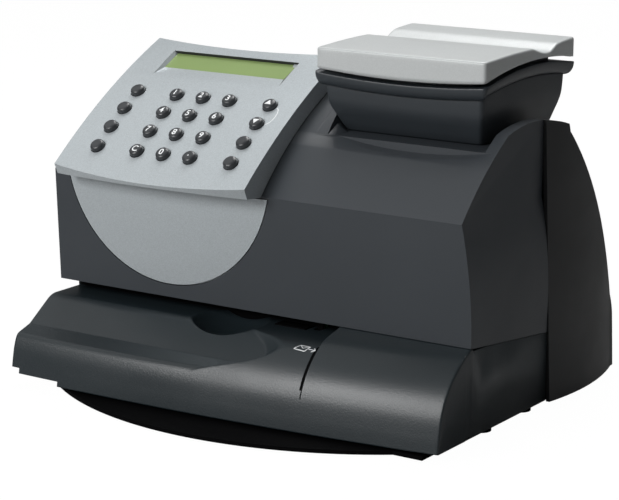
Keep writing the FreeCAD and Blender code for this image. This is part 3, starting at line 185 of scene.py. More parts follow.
def thickened(piece, wall):
    """Gives an open surface a wall on its inner side."""
    solid = piece.modifiers.new("wall", "SOLIDIFY")
    solid.thickness = wall * MM
    solid.offset = -1.0
    return piece


def bevelled(piece, width, limit):
    """Rounds the edges that turn by more than a limit, in degrees."""
    edge = piece.modifiers.new("edge", "BEVEL")
    edge.width = width * MM
    edge.segments = 3
    edge.limit_method = "ANGLE"
    edge.angle_limit = math.radians(limit)
    edge.harden_normals = True


def skin_of(node, width, sharp=32.0, flat=0.4, moved=None):
    """A merged copy of a moulded node, with flat areas joined up and narrow rounded edges.

    The function moved, where given, takes the copy's points in millimetres and returns them in place.
    """
    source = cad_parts[node].data
    spots = np.empty(len(source.vertices) * 3)
    source.vertices.foreach_get("co", spots)
    keys = np.round(spots.reshape(-1, 3) * 1e6).astype(np.int64)
    unique, back = np.unique(keys, axis=0, return_inverse=True)
    corners = np.empty(len(source.loops), dtype=np.int32)
    source.loops.foreach_get("vertex_index", corners)
    faces = back.reshape(-1)[corners].reshape(-1, 3)
    whole = (faces[:, 0] != faces[:, 1]) & (faces[:, 1] != faces[:, 2]) & (faces[:, 2] != faces[:, 0])
    spots = moved(unique / 1e3) if moved else unique / 1e3
    piece = mesh_object(node + "_skin", spots, faces[whole], sharp)
    work = bmesh.new()
    work.from_mesh(piece.data)
    bmesh.ops.dissolve_limit(work, angle_limit=math.radians(flat), verts=work.verts, edges=work.edges)
    work.to_mesh(piece.data)
    work.free()
    piece.data.set_sharp_from_angle(angle=math.radians(sharp))
    bevelled(piece, width, sharp)
    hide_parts(node)
    return piece


# Panel frame: places are given by x, arc length s along the bent panel and height h above it

def on_panel(x, s, h, along=0.0):
    """Points from panel coordinates; along runs from them up the surface's tangent at s."""
    size = sizes()
    tilt = math.radians(size.panel_tilt)
    angle = tilt - s / size.panel_bend
    y = size.panel_y + size.panel_bend * (math.sin(tilt) - np.sin(angle))
    z = size.panel_z + size.panel_bend * (np.cos(angle) - math.cos(tilt))
    y = y + along * np.cos(angle) - h * np.sin(angle)
    z = z + along * np.sin(angle) + h * np.cos(angle)
    return np.stack(np.broadcast_arrays(x, y, z), axis=-1)


# Finishes

def group_tree(name, inputs, outputs):
    """An empty shader group with float inputs and the given outputs."""
    tree = bpy.data.node_groups.new(name, "ShaderNodeTree")
    for label, value in inputs:
        tree.interface.new_socket(label, in_out="INPUT", socket_type="NodeSocketFloat").default_value = value
    for label, kind in outputs:
        tree.interface.new_socket(label, in_out="OUTPUT", socket_type=kind)
    return tree, tree.nodes.new("NodeGroupInput"), tree.nodes.new("NodeGroupOutput")


def given(node, **values):
    """Sets a node's inputs by name, an underscore standing for a space, and returns the node."""
    for label, value in values.items():
        node.inputs[label.replace("_", " ")].default_value = value
    return node


def added(tree, kind, **values):
    """A new shader node with its inputs set."""
    return given(tree.nodes.new("ShaderNode" + kind), **values)


@cache
def grain_group():
    """Moulded grain: fine noise for height, broad noise for a faint change of tone."""
    tree, start, end = group_tree(
        "Moulded grain", [("Fineness", 900.0), ("Cloud", 18.0)],
        [("Height", "NodeSocketFloat"), ("Tone", "NodeSocketFloat")])
    place = added(tree, "TexCoord")
    fine = added(tree, "TexNoise", Detail=3.0)
    broad = added(tree, "TexNoise", Detail=2.0)
    for noise, socket, result in ((fine, "Fineness", "Height"), (broad, "Cloud", "Tone")):
        tree.links.new(place.outputs["Object"], noise.inputs["Vector"])
        tree.links.new(start.outputs[socket], noise.inputs["Scale"])
        tree.links.new(noise.outputs["Fac"], end.inputs[result])
    return tree


@cache
def fleck_group():
    """Metallic paint: tiny bright and dark flakes from a cell pattern."""
    tree, start, end = group_tree("Paint flecks", [("Fineness", 2600.0)], [("Fleck", "NodeSocketFloat")])
    place = added(tree, "TexCoord")
    cells = added(tree, "TexVoronoi")
    shade = added(tree, "SeparateColor")
    tree.links.new(place.outputs["Object"], cells.inputs["Vector"])
    tree.links.new(start.outputs["Fineness"], cells.inputs["Scale"])
    tree.links.new(cells.outputs["Color"], shade.inputs["Color"])
    tree.links.new(shade.outputs["Red"], end.inputs["Fleck"])
    return tree


@cache
def marks_group():
    """Handling marks: soft smears stretched along X, from low-contrast noise."""
    tree, start, end = group_tree("Handling marks", [("Size", 14.0)], [("Smear", "NodeSocketFloat")])
    place = added(tree, "TexCoord")
    stretch = added(tree, "Mapping", Scale=(0.6, 1.0, 1.4))
    noise = added(tree, "TexNoise", Detail=4.0, Distortion=0.6)
    ramp = added(tree, "MapRange", From_Min=0.35, From_Max=0.7)
    tree.links.new(place.outputs["Object"], stretch.inputs["Vector"])
    tree.links.new(stretch.outputs["Vector"], noise.inputs["Vector"])
    tree.links.new(start.outputs["Size"], noise.inputs["Scale"])
    tree.links.new(noise.outputs["Fac"], ramp.inputs["Value"])
    tree.links.new(ramp.outputs["Result"], end.inputs["Smear"])
    return tree


def placed(tree, material, **values):
    """A shader group placed in a material, with its own values."""
    node = added(material.node_tree, "Group")
    node.node_tree = tree
    return given(node, **values)


def blank_material(name, **values):
    """A new material, its node tree and its Principled shader with some inputs set."""
    material = bpy.data.materials.new(name)
    material.use_nodes = True
    return material, material.node_tree, given(material.node_tree.nodes["Principled BSDF"], **values)


def toned(tree, mask, low, high):
    """A colour that runs from low to high with a mask."""
    mix = tree.nodes.new("ShaderNodeMix")
    mix.data_type = "RGBA"
    mix.inputs["A"].default_value = (*low, 1.0)
    mix.inputs["B"].default_value = (*high, 1.0)
    tree.links.new(mask, mix.inputs["Factor"])
    return mix.outputs["Result"]


def ranged(tree, value, low, high):
    """A value moved from 0..1 to low..high."""
    span = added(tree, "MapRange", To_Min=low, To_Max=high)
    tree.links.new(value, span.inputs["Value"])
    return span.outputs["Result"]


def moulded(name, colour, rough=(0.42, 0.52), grain=0.06, fineness=1400.0, spread=0.10, specular=0.5):
    """Moulded plastic: faint tone changes, a fine grain in the bump and uneven gloss."""
    material, tree, shader = blank_material(name, Specular_IOR_Level=specular)
    noise = placed(grain_group(), material, Fineness=fineness, Cloud=16.0)
    smear = placed(marks_group(), material, Size=13.0)
    low = [c * (1 - spread) for c in colour]
    high = [c * (1 + spread) for c in colour]
    tree.links.new(toned(tree, noise.outputs["Tone"], low, high), shader.inputs["Base Color"])
    tree.links.new(ranged(tree, smear.outputs["Smear"], *rough), shader.inputs["Roughness"])
    bump = added(tree, "Bump", Strength=grain, Distance=0.0002)
    tree.links.new(noise.outputs["Height"], bump.inputs["Height"])
    tree.links.new(bump.outputs["Normal"], shader.inputs["Normal"])
    return material


def painted(name, colour, rough=(0.30, 0.38), metal=0.35, fleck=0.10):
    """Silver paint: fine flecks of brighter flake over an even base."""
    material, tree, shader = blank_material(name, Metallic=metal, Coat_Weight=0.15, Coat_Roughness=0.25)
    flakes = placed(fleck_group(), material, Fineness=2400.0)
    smear = placed(marks_group(), material, Size=9.0)
    low = [c * (1 - fleck) for c in colour]
    high = [min(1.0, c * (1 + fleck)) for c in colour]
    tree.links.new(toned(tree, flakes.outputs["Fleck"], low, high), shader.inputs["Base Color"])
    tree.links.new(ranged(tree, smear.outputs["Smear"], *rough), shader.inputs["Roughness"])
    return material


def metal(name, colour, rough=(0.28, 0.42)):
    """Machined metal with faint uneven polish."""
    material, tree, shader = blank_material(name, Metallic=1.0)
    smear = placed(marks_group(), material, Size=60.0)
    noise = placed(grain_group(), material, Fineness=2200.0, Cloud=40.0)
    low = [c * 0.92 for c in colour]
    tree.links.new(toned(tree, noise.outputs["Tone"], low, colour), shader.inputs["Base Color"])
    tree.links.new(ranged(tree, smear.outputs["Smear"], *rough), shader.inputs["Roughness"])
    return material


def even(name, colour, dark, rough, **grain):
    """A nearly even colour, from a share dark up to full, and a gloss that follows a fine grain."""
    material, tree, shader = blank_material(name)
    noise = placed(grain_group(), material, **grain)
    low = [c * dark for c in colour]
    tree.links.new(toned(tree, noise.outputs["Tone"], low, colour), shader.inputs["Base Color"])
    tree.links.new(ranged(tree, noise.outputs["Height"], *rough), shader.inputs["Roughness"])
    return material


@cache
def finish_of(name):
    """The finish with a name, made when it is first asked for."""
    return FINISH_MAKERS[name]()


FINISH_MAKERS = {
    "body": lambda: moulded("Body plastic", colours().body, rough=(0.42, 0.52)),
    "deck": lambda: moulded("Deck plastic", colours().deck, rough=(0.33, 0.41), grain=0.42,
                            fineness=1150.0, specular=0.58),
    "rear": lambda: moulded("Rear plastic", colours().rear, rough=(0.45, 0.55)),
    "silver": lambda: painted("Silver paint", colours().silver),
    "platter": lambda: painted("Platter paint", colours().platter, rough=(0.42, 0.5), metal=0.1, fleck=0.05),
    "rim": lambda: moulded("Rim plastic", colours().rim, rough=(0.32, 0.42)),
    "tray": lambda: moulded("Tray plastic", colours().rim, rough=(0.40, 0.50)),
    "key": lambda: moulded("Key plastic", colours().key, rough=(0.28, 0.36), grain=0.02),
    "chassis": lambda: moulded("Chassis plastic", (0.003, 0.003, 0.0033), rough=(0.6, 0.7), specular=0.02),
    "rubber": lambda: moulded("Black rubber", (0.012, 0.012, 0.012), rough=(0.7, 0.8), grain=0.2),
    "mat": lambda: moulded("Keypad rubber", (0.08, 0.085, 0.09), rough=(0.6, 0.7)),
    "board": lambda: moulded("Board lacquer", (0.01, 0.09, 0.03), rough=(0.3, 0.4), fineness=500.0),
    "dark": lambda: moulded("Dark plastic", (0.014, 0.014, 0.016), rough=(0.4, 0.5)),
    "white_gear": lambda: moulded("White acetal", (0.62, 0.62, 0.58), rough=(0.3, 0.4), spread=0.03),
    "cartridge": lambda: moulded("Cartridge plastic", (0.12, 0.01, 0.015), rough=(0.25, 0.35)),
    "steel": lambda: metal("Zinc-plated steel", (0.55, 0.55, 0.56)),
    "rod": lambda: metal("Ground steel", (0.68, 0.68, 0.69), rough=(0.12, 0.2)),
    "aluminium": lambda: metal("Milled aluminium", (0.72, 0.72, 0.73)),
    "brass": lambda: metal("Brass", (0.72, 0.50, 0.20)),
    "ink": lambda: even("Legend ink", colours().legend, 0.9, (0.45, 0.6), Fineness=1600.0, Cloud=300.0),
    "display": lambda: even("Display green", colours().display, 0.86, (0.28, 0.36),
                            Fineness=700.0, Cloud=22.0),
}


def finished(piece, finish, body):
    """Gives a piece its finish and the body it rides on."""
    piece.data.materials.clear()
    piece.data.materials.append(finish_of(finish))
    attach(piece, body)


# Pieces: places and sizes in millimetres

KEY_FLANGE = -2.8                     # top of the flange that holds a cap under the panel
KEY_COLUMNS = (-116.8, -64.0, -11.5)  # menu keys, middle number column, function keys


def dome_height(radius):
    """Height of a key's flat-topped dome: (r / R) ^ 4 + (h / rise) ^ 4 = 1."""
    size = sizes()
    share = np.clip(np.asarray(radius, float) / size.key_radius, 0, 1)
    return size.key_rise * (1 - share ** 4) ** 0.25


def key_profile():
    """Radius and height along a cap: dome, skirt, flange and plunger."""
    size = sizes()
    turn = np.linspace(0, math.pi / 2, 15)
    radius = size.key_radius * np.sin(turn) ** 0.5
    height = dome_height(radius)
    rim, stem, floor, foot = size.key_radius + 1, 1.6, KEY_FLANGE - 1, KEY_FLANGE - 1.7
    under = [(size.key_radius, KEY_FLANGE), (rim, KEY_FLANGE), (rim, floor),
             (stem, floor), (stem, foot), (0, foot)]
    return np.concatenate([np.stack([radius, height], axis=-1), np.array(under)])


def key_cap(name, x, s):
    """A profile turned about the panel's normal: point = origin + r (cos a, sin a) + h normal."""
    radius, height = key_profile().T[..., None]
    angle = np.linspace(0, 2 * math.pi, sizes().key_sides + 1)
    return joined(name + "_dome", [on_panel(x + radius * np.cos(angle), s, height, radius * np.sin(angle))])


def key_table():
    """Name, x and s of every key, from the top row down."""
    size = sizes()
    menu, middle, function = KEY_COLUMNS
    columns = (menu, middle - size.key_pitch_x, middle, middle + size.key_pitch_x, function)
    rows = (("menu_key_1", "key_1", "key_2", "key_3", "key_up"),
            ("menu_key_2", "key_4", "key_5", "key_6", "key_down"),
            ("menu_key_3", "key_7", "key_8", "key_9", "key_back"),
            ("menu_key_4", "key_clear", "key_0", "key_point", "key_enter"))
    return [(name, x, (1 - row) * size.key_pitch_s)
            for row, names in enumerate(rows) for name, x in zip(names, columns)]


def letter_points(text, height):
    """A flat character as fine triangles, centred on the origin, in millimetres."""
    curve = bpy.data.curves.new("letter", "FONT")
    curve.body = text
    curve.size = height
    curve.align_x = "CENTER"
    curve.resolution_u = 6
    curve.offset = 0.11
    holder = bpy.data.objects.new("letter", curve)
    bpy.context.scene.collection.objects.link(holder)
    bpy.context.view_layer.update()
    mesh = bpy.data.meshes.new_from_object(holder)
    work = bmesh.new()
    work.from_mesh(mesh)
    bmesh.ops.remove_doubles(work, verts=work.verts, dist=1e-4)
    bmesh.ops.triangulate(work, faces=work.faces)
    bmesh.ops.subdivide_edges(work, edges=work.edges, cuts=2, use_grid_fill=True)
    bmesh.ops.triangulate(work, faces=work.faces)
    spots = np.array([v.co[:2] for v in work.verts])
    faces = np.array([[v.index for v in f.verts] for f in work.faces])
    work.free()
    bpy.data.objects.remove(holder)
    spots -= 0.5 * (spots.min(axis=0) + spots.max(axis=0))
    return spots, faces


def arrow_points(width, way):
    """A solid triangle as a fine grid that narrows to its tip: way is 1 up or -1 down."""
    rows = np.linspace(0, 1, 7)[:, None]
    across = np.linspace(-0.5, 0.5, 9)[None, :]
    x = width * across * (1 - rows)
    y = way * width * 0.86 * (np.broadcast_to(rows, x.shape) - 0.4)
    spots = np.stack([x, y], axis=-1).reshape(-1, 2)
    faces = grid_faces(*x.shape)
    return spots, faces if way > 0 else faces[:, ::-1]


def printed_on_key(name, body, spots, faces, x, s):
    """Lays flat marks on a dome: height = dome height at their radius plus the ink."""
    across, along = spots.T
    points = on_panel(x + across, s, dome_height(np.hypot(across, along)) + INK, along)
    finished(mesh_object(name, points, faces), "ink", body)


LEGENDS = {"key_clear": "C", "key_point": ".", **{"key_%d" % i: str(i) for i in range(10)}}
ARROWS = {"key_up": 1, "key_down": -1}


def build_keys():
    """Caps with their marks: digits, C and a point on the number keys, triangles on the arrow keys."""
    for name, x, s in key_table():
        body = name + "_cap"
        cap = key_cap(name, x, s)
        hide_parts(name)
        finished(cap, "key", body)
        if name in LEGENDS:
            spots, faces = letter_points(LEGENDS[name], 6.4)
            printed_on_key(name + "_legend", body, spots, faces, x, s)
        if name in ARROWS:
            spots, faces = arrow_points(4.6, ARROWS[name])
            printed_on_key(name + "_arrow", body, spots, faces, x, s)
    build_key_link()


def build_key_link():
    """Printed line that joins the two arrow keys: an arc of an ellipse, 0.6 mm wide."""
    turn = np.linspace(-0.5 * math.pi, 0.5 * math.pi, 40)[:, None]
    out = np.linspace(-0.3, 0.3, 3)[None, :]
    x = KEY_COLUMNS[2] + 5.6 + (3.4 + out) * np.cos(turn)
    s = 0.5 * sizes().key_pitch_s + (7.6 + out) * np.sin(turn)
    link = flat_grid("key_link_line", on_panel(x, s, INK + 0.01), flipped=True)
    finished(link, "ink", "housing")


def build_panel():
    """The bent panel and the round bib under it."""
    finished(skin_of("control_panel", 0.5), "silver", "housing")
    finished(skin_of("bib_panel", 0.35), "silver", "housing")


# Corners (x, s) of the display recess on the panel, and of the glass seen in it, from the front left
RECESS = np.array([[-116.9, 36.6], [-16.6, 36.6], [-16.6, 63.3], [-116.9, 63.3]])
GLASS = np.array([[-115.2, 46.9], [-19.5, 46.9], [-18.5, 63.2], [-115.2, 63.2]])


def recess_side(first):
    """Straight blend from one edge of the recess down to the glass, run clockwise: (rows, columns, 3)."""
    share = np.linspace(1, 0, 24)[None, :, None]
    down = np.linspace(0, 1, 8)[:, None, None]
    rail = [line[first] + share * (line[(first + 1) % 4] - line[first]) for line in (RECESS, GLASS)]
    spots = rail[0] + down * (rail[1] - rail[0])
    return on_panel(spots[..., 0], spots[..., 1], -0.1 - 2.0 * down[..., 0])


def build_display():
    """Green glass low in the recess, with silver slopes in front and at the left and walls behind in the
    dark finish as painted shade.
    """
    x, s = np.meshgrid(np.linspace(-18.2, -115.6, 60), np.linspace(46.5, 63.3, 12))
    glass = flat_grid("display_glass", on_panel(x, s, -2.15))
    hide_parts("display_window")
    finished(glass, "display", "housing")
    # The recess's back and right walls take the dark finish: painted shade for the side of the recess that
    # falls in shadow.
    walls = joined("display_shade_walls", [recess_side(1), recess_side(2)], 30.0, turned=False)
    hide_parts("display_gasket")
    finished(walls, "dark", "housing")
    slopes = joined("display_slopes", [recess_side(0), recess_side(3)], 30.0, turned=False)
    finished(slopes, "silver", "housing")
    finished(skin_of("display_module", 0.2), "display", "housing")


SLOPE_Y, SLOPE_Z = (-64.0, -37.8, 7.4), (135.5, 160.6, 189.4)  # side view of the main cover's slope
SEAT_FLOOR = 171.0                                             # flat part that carries the scale


def build_seat_blend():
    """Straight blend from the edge of the slope down to the floor of the seat, tucked under the tray."""
    y = np.linspace(-25, 6, 25)[None, :]
    share = np.linspace(0, 1, 8)[:, None]
    slope = np.polyval(np.polyfit(SLOPE_Y, SLOPE_Z, 2), y) - 0.3
    edge, foot = 22, np.clip(38 - 0.95 * (y + 11), 31.8, 38)
    x = edge + (foot - edge) * share
    z = slope + (SEAT_FLOOR - 0.2 - slope) * share
    blend = flat_grid("seat_blend", np.stack(np.broadcast_arrays(x, y, z), axis=-1))
    finished(blend, "body", "housing")


def left_lean(spots):
    """Leans the left wall in: none along its front edge or foot, 9 mm at the top of its back."""
    x, y, z = spots.T
    lean = 9 * np.clip((y - SLOPE_Y[0]) / 78, 0, 1) * np.clip((z - 50) / 140, 0, 1.1)
    return np.stack([x + np.where(x < -120, lean, 0), y, z], axis=-1)


def build_housing():
    """Main cover, chassis and the blend beside the scale's seat."""
    finished(skin_of("main_cover", sizes().edge, moved=left_lean), "body", "housing")
    finished(skin_of("base_chassis", 0.5), "chassis", "housing")
    build_seat_blend()


def deck_cap(x, y):
    """Height that the front cover is pressed down to, left of the stop edge.

    The lowest of the flat deck, a lap that falls in two slopes from its crest up to a curved
    right-hand limit, and a ball-shaped thumb hollow, blended softly.
    """
    deck = sizes().deck_height
    crest, first_run = -71.8, 22.5
    fall = (np.clip(crest - y, None, first_run) * 15.4 / first_run
            + np.clip(crest - first_run - y, 0, None) * 18.1 / 57.5)
    limit_x = np.array([-30.0, -16, 13, 27, 22, 5, -10])
    limit_y = np.array([-115.0, -107.8, -99.3, -90, -80, -71, -60])
    limit = through(limit_x, limit_y, np.clip(y, -114, -61).ravel()).reshape(y.shape)
    lap = deck - fall + 0.9 * np.clip(x - limit, 0, None)
    ball_x, ball_y, ball_z, ball = -18, -62, 83.6, 40
    away = (x - ball_x) ** 2 + (y - ball_y) ** 2
    hollow = ball_z - np.sqrt(np.clip(ball ** 2 - away, 0, None))
    return soft_min(soft_min(deck, lap, 3.0), hollow, 0.8)


END_ROUND = 1.2                                # rounding of the front cover's ends
FOOT, END_FOOT = 5.3, (12.0, 8.5)              # its foot, and the two steps at its left end
FACE_Y, GUIDE_Y = -61.0, -42.0                 # front face above the slot, and the wall behind the slot
HOLE_X, HOLE_Y = (38.5, 43.5), (-51.0, -36.0)  # hole for the lever


def seam_height(y):
    """Height of the front cover's top edge, which falls 11 mm from under the face to the rear cover."""
    return sizes().slot_top - 0.4 - 11 * (y - FACE_Y) / 95


def front_columns():
    """X of the front cover's columns, the foot's height at each, and which stand right of the stop edge."""
    size = sizes()
    half, stop = size.cover_half - END_ROUND, size.stop_x
    near, far = HOLE_X
    spans = [np.linspace(-half, -150, 7), np.linspace(-150, -117, 24), np.linspace(-117, near, 126),
             np.linspace(near + 1, far, 5), np.linspace(far + 1, stop - 0.4, 18), [stop],
             [stop, stop + 0.4], np.linspace(stop + 1.2, half, 60)]
    feet = (*END_FOOT, *[FOOT] * (len(spans) - 2))
    foot = np.concatenate([np.full(len(span), level) for span, level in zip(spans, feet)])
    raised = np.concatenate([np.full(len(span), i > 5) for i, span in enumerate(spans)])
    return np.concatenate(spans), foot, raised


def front_sections(x, foot, raised):
    """Side view of the front cover at each column, as (rows, columns) arrays of y and z.

    The foot's line is a parabola in plan, and the front follows one curve from it to the slot.
    Behind that the top runs back to the guide wall, or to the main cover right of the stop edge.
    The deck is pressed down into it.
    """
    start = -115 + (x + 92.5) ** 2 / 3680
    back = np.array([0, 1.5, 4.25, 8.93, 16.6, 25.1])
    up = np.array([FOOT, 15, 27, 37, 46.5, 53.4, seam_height(FACE_Y)])
    knots = np.concatenate([[0], np.cumsum(np.hypot(np.diff(back), np.diff(up[:6])))])
    knots = np.append(knots, knots[-1] + 24)
    at = np.linspace(0, knots[-1], 120)
    y = through(np.concatenate([start + back[:, None], np.full((1, len(x)), FACE_Y)]), knots, at)
    z = np.broadcast_to(through(up[:, None], knots, at), y.shape)
    under = z < foot
    y = np.where(under, start + np.interp(foot, up[:6], back), y)
    z = np.where(under, foot, z)
    run = np.arange(FACE_Y + 1, GUIDE_Y + 1)[:, None] * np.ones(len(x))
    run = np.where(raised, np.minimum(run, -58), run)
    top = seam_height(run)
    y, z = np.concatenate([y, run]), np.concatenate([z, top])
    z = np.where(raised, z, soft_min(z, deck_cap(x, y), 3.5))
    y = np.concatenate([y, y[-1:]])
    z = np.concatenate([z, top[-1:]])
    return y, z


def outward(y, z):
    """Unit normals of side-view curves that run from the foot up and back.

    Rows that lie on each other take the normal of the row before them.
    """
    along, rise = np.gradient(y, axis=0), np.gradient(z, axis=0)
    length = np.hypot(along, rise)
    moving = length > 1e-4
    row = np.maximum.accumulate(np.where(moving, np.arange(len(y))[:, None], 0), axis=0)
    row = np.maximum(row, np.argmax(moving, axis=0))
    along, rise, length = (np.take_along_axis(a, row, axis=0) for a in (along, rise, length))
    return -rise / length, along / length


def front_top():
    """Front and top of the front cover with rounded ends: (rows, columns, 3)."""
    x, foot, raised = front_columns()
    y, z = front_sections(x, foot, raised)
    out_y, out_z = outward(y, z)
    groove = 0.9 * (x == sizes().stop_x) * ((y > -104.5) & (y < -81.5))
    body = np.stack([np.broadcast_to(x, y.shape), y - groove * out_y, z - groove * out_z], axis=-1)
    turn = np.radians([22.5, 45, 67.5, 90])
    ends = []
    sink = END_ROUND * (1 - np.cos(turn))
    for column, side in ((0, -1), (-1, 1)):
        edge = body[:, [column]]
        ends.append(np.stack([edge[..., 0] + side * END_ROUND * np.sin(turn),
                              edge[..., 1] - sink * out_y[:, [column]],
                              edge[..., 2] - sink * out_z[:, [column]]], axis=-1))
    return np.concatenate([ends[0][:, ::-1], body, ends[1]], axis=1)


def front_end(edge):
    """Upright end of the front cover, from its outline down to the foot: (rows, 2, 3)."""
    rear = np.array([[edge[0, 0], y, seam_height(y)] for y in (GUIDE_Y + 0.5, 34.0)])
    top = np.concatenate([edge, rear])
    low = np.where(top[:, 1] < -66, edge[0, 2], FOOT)
    bottom = np.stack([top[:, 0], top[:, 1], np.minimum(low, top[:, 2])], axis=-1)
    return np.stack([top, bottom], axis=1)


def build_front_cover():
    """A soft deck pressed into a curved front, with upright ends and a hole for the lever."""
    top = front_top()
    grids = [top[:, ::-1], front_end(top[:, 0]), front_end(top[:, -1])[:, ::-1]]
    piece = joined("front_cover_shell", grids, 46.0, turned=False)
    work = bmesh.new()
    work.from_mesh(piece.data)
    spots = [face.calc_center_median() / MM for face in work.faces]
    hole = [face for face, spot in zip(work.faces, spots)
            if HOLE_X[0] < spot.x < HOLE_X[1] and HOLE_Y[0] < spot.y < HOLE_Y[1] and spot.z > 45]
    bmesh.ops.delete(work, geom=hole, context="FACES")
    work.to_mesh(piece.data)
    work.free()
    thickened(piece, 1.2)
    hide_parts("front_cover")
    finished(piece, "deck", "housing")
    # Second material, the near-black chassis finish, goes on the wall behind the slot: painted shade for the
    # dark inside of the slot.
    piece.data.materials.append(finish_of("chassis"))
    centres = np.empty(len(piece.data.polygons) * 3)
    piece.data.polygons.foreach_get("center", centres)
    x, y, _ = centres.reshape(-1, 3).T / MM
    wall = (np.abs(y - GUIDE_Y) < 0.1) & (x < sizes().stop_x)
    piece.data.polygons.foreach_set("material_index", wall.astype(np.int32))
    build_deck_marks()
    build_seam_backing()


def deck_at(beside, y):
    """Height of the deck's front part along the column of points nearest to an x."""
    x, foot, raised = front_columns()
    along, height = front_sections(x, foot, raised)
    column = int(np.argmin(np.abs(x - beside)))
    front = (height[:, column] > 20) & (along[:, column] < -70)
    return np.interp(y, along[front, column], height[front, column])


def strokes(spots, width, parts=8):
    """Straight strokes between successive points: each a narrow grid of parts by 2 points."""
    start, end = np.asarray(spots, float)[:-1], np.asarray(spots, float)[1:]
    along = (end - start) / np.linalg.norm(end - start, axis=1, keepdims=True)
    side = 0.5 * width * np.stack([-along[:, 1], along[:, 0]], axis=-1)
    share = np.linspace(0, 1, parts)[None, :, None, None]
    middle = start[:, None, None] + share * (end - start)[:, None, None]
    return middle + side[:, None, None] * np.array([-1, 1])[None, None, :, None]


def build_deck_marks():
    """Printed outline of an envelope with an arrow to the stop, and a near-black strip in the groove in
    front of the stop, painted shade for the groove.
    """
    outline = strokes([(49, -88.2), (51.8, -84.3), (58.8, -84.3), (56.8, -88.4), (49, -88.2)], 0.6)
    flap = strokes([(51.8, -84.3), (54.4, -86.6), (58.8, -84.3)], 0.45)
    arrow = strokes([(58.4, -86.3), (63.2, -86.3)], 0.55)
    head = strokes([(61.2, -87.9), (63.4, -86.3), (61.9, -84.7)], 0.55)
    flat = np.concatenate([outline, flap, arrow, head])
    left, right = (deck_at(beside, flat[..., 1]) for beside in (50.0, 62.0))
    height = left + (flat[..., 0] - 50) / 12 * (right - left) + 0.12
    grid = np.concatenate([flat, height[..., None]], axis=-1)
    mark = joined("envelope_mark", list(grid), turned=False)
    finished(mark, "ink", "housing")
    # A near-black strip just above the deck along the stop: painted shade for the groove there.
    y = np.linspace(-103, -82, 40)[:, None]
    x = np.array([[64.4, 62.9]])
    low = np.stack(np.broadcast_arrays(x, y, deck_at(63.4, y) + 0.06), axis=-1)
    groove = flat_grid("deck_groove_shade", low, flipped=True)
    finished(groove, "chassis", "housing")


def build_seam_backing():
    """Dark strip just inside the right end, behind the seam between the front cover and the main cover:
    painted shade for the inside of the seam.
    """
    y = np.linspace(-60, 33, 30)[None, :]
    rise = np.linspace(-4, 3, 4)[:, None]
    grid = np.stack(np.broadcast_arrays(sizes().cover_half - 3, y, seam_height(y) + rise), axis=-1)
    # A dark sheet behind the seam: painted shade for the inside of the gap.
    strip = flat_grid("painted_seam_shade", grid, flipped=True)
    finished(strip, "dark", "housing")


def build_rear_cover():
    """Rear cover with its edges rounded."""
    finished(skin_of("rear_cover", sizes().edge), "rear", "housing")


PLATTER_X, PLATTER_Y = 81.55, 34.0     # middle of the platter
PLATTER_HALF = (60.35, 56.7)           # its half width and half depth


def edge_height(x, y):
    """Height of the platter's lower edge: arched along the sides, sagging along the front."""
    fade = np.clip(1 - np.clip(y - PLATTER_Y + PLATTER_HALF[1], 0, None) / 30, 0, None) ** 2
    sag = 3 * (1 - np.minimum(1, np.abs(x - PLATTER_X) / PLATTER_HALF[0]) ** 2) * fade
    return sizes().platter_height - 12.7 + 7 * (1 - ((y - 41.3) / 64) ** 2) - sag


def loop(left, right, front, back, radius, side=40, corner=6):
    """Rounded rectangles: (rows, points, 2) from the four bounds and radii given as (rows,) arrays."""
    share = np.linspace(0, 1, side)[None, :]
    turn = np.linspace(0, math.pi / 2, corner + 2)[None, 1:-1]
    bounds = (left, right, front, back, radius)
    left, right, front, back, radius = (np.asarray(a, float)[:, None] for a in bounds)
    centres = [(right - radius, front + radius), (right - radius, back - radius),
               (left + radius, back - radius), (left + radius, front + radius)]
    rows = []
    for quarter, ((x, y), (out_x, out_y)) in enumerate(zip(centres, ((1, 0), (0, 1), (-1, 0), (0, -1)))):
        angle = turn + (quarter - 1) * math.pi / 2
        rows.append(np.stack([x + radius * np.cos(angle), y + radius * np.sin(angle)], axis=-1))
        next_x, next_y = centres[(quarter + 1) % 4]
        rows.append(np.stack([x + radius * out_x + share * (next_x - x),
                              y + radius * out_y + share * (next_y - y)], axis=-1))
    return np.concatenate(rows, axis=1)


def wrapped(grid):
    """Repeats a closed loop's first point at its end."""
    return np.concatenate([grid, grid[:, :1]], axis=1)


def build_rim():
    """A bar carried round the outline: flat top, outer face curving in below as a quarter ellipse."""
    turn = np.linspace(0, math.pi / 2, 12)
    inset = np.concatenate([[8, 0.5, 0.12], 5.3 * (1 - np.cos(turn)), [8, 8]])
    drop = np.concatenate([[0, 0, 0.12], 0.5 + 7.5 * np.sin(turn), [8, 0]])
    flat = loop(19 + inset, 142 - inset, -22.3 + inset, 92 - inset, np.maximum(3 - inset, 0.4))
    outline = flat[3]
    top = edge_height(outline[:, 0], outline[:, 1]) - 3
    grid = np.concatenate([flat, (top[None, :] - drop[:, None])[..., None]], axis=-1)
    piece = joined("scale_rim_bar", [wrapped(grid)], 35.0)
    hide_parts("scale_rim")
    finished(piece, "rim", "housing")


def build_tray():
    """Walls that flare out from the foot to the rim: each level is a rounded rectangle."""
    height = np.linspace(0, 1, 26)
    flares = np.array([0, 0.25, 0.51, 0.73, 0.9, 1.0, 1.04])
    flare = through(flares, np.array([0, 5, 11.5, 17, 22.5, 31, 45.0]), height * 38)
    flat = loop(32.5 - 8 * flare, 129.9 + 7 * flare, -4.5 - 12.5 * flare, 79 + 7.7 * flare, np.full(26, 3.0))
    rim = edge_height(flat[-1, :, 0], flat[-1, :, 1]) - 10.9
    z = SEAT_FLOOR + height[:, None] * (rim[None, :] - SEAT_FLOOR)
    grid = np.concatenate([flat, z[..., None]], axis=-1)
    piece = thickened(joined("scale_tray_wall", [wrapped(grid)], 50.0), 2.4)
    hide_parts("scale_tray")
    finished(piece, "tray", "housing")


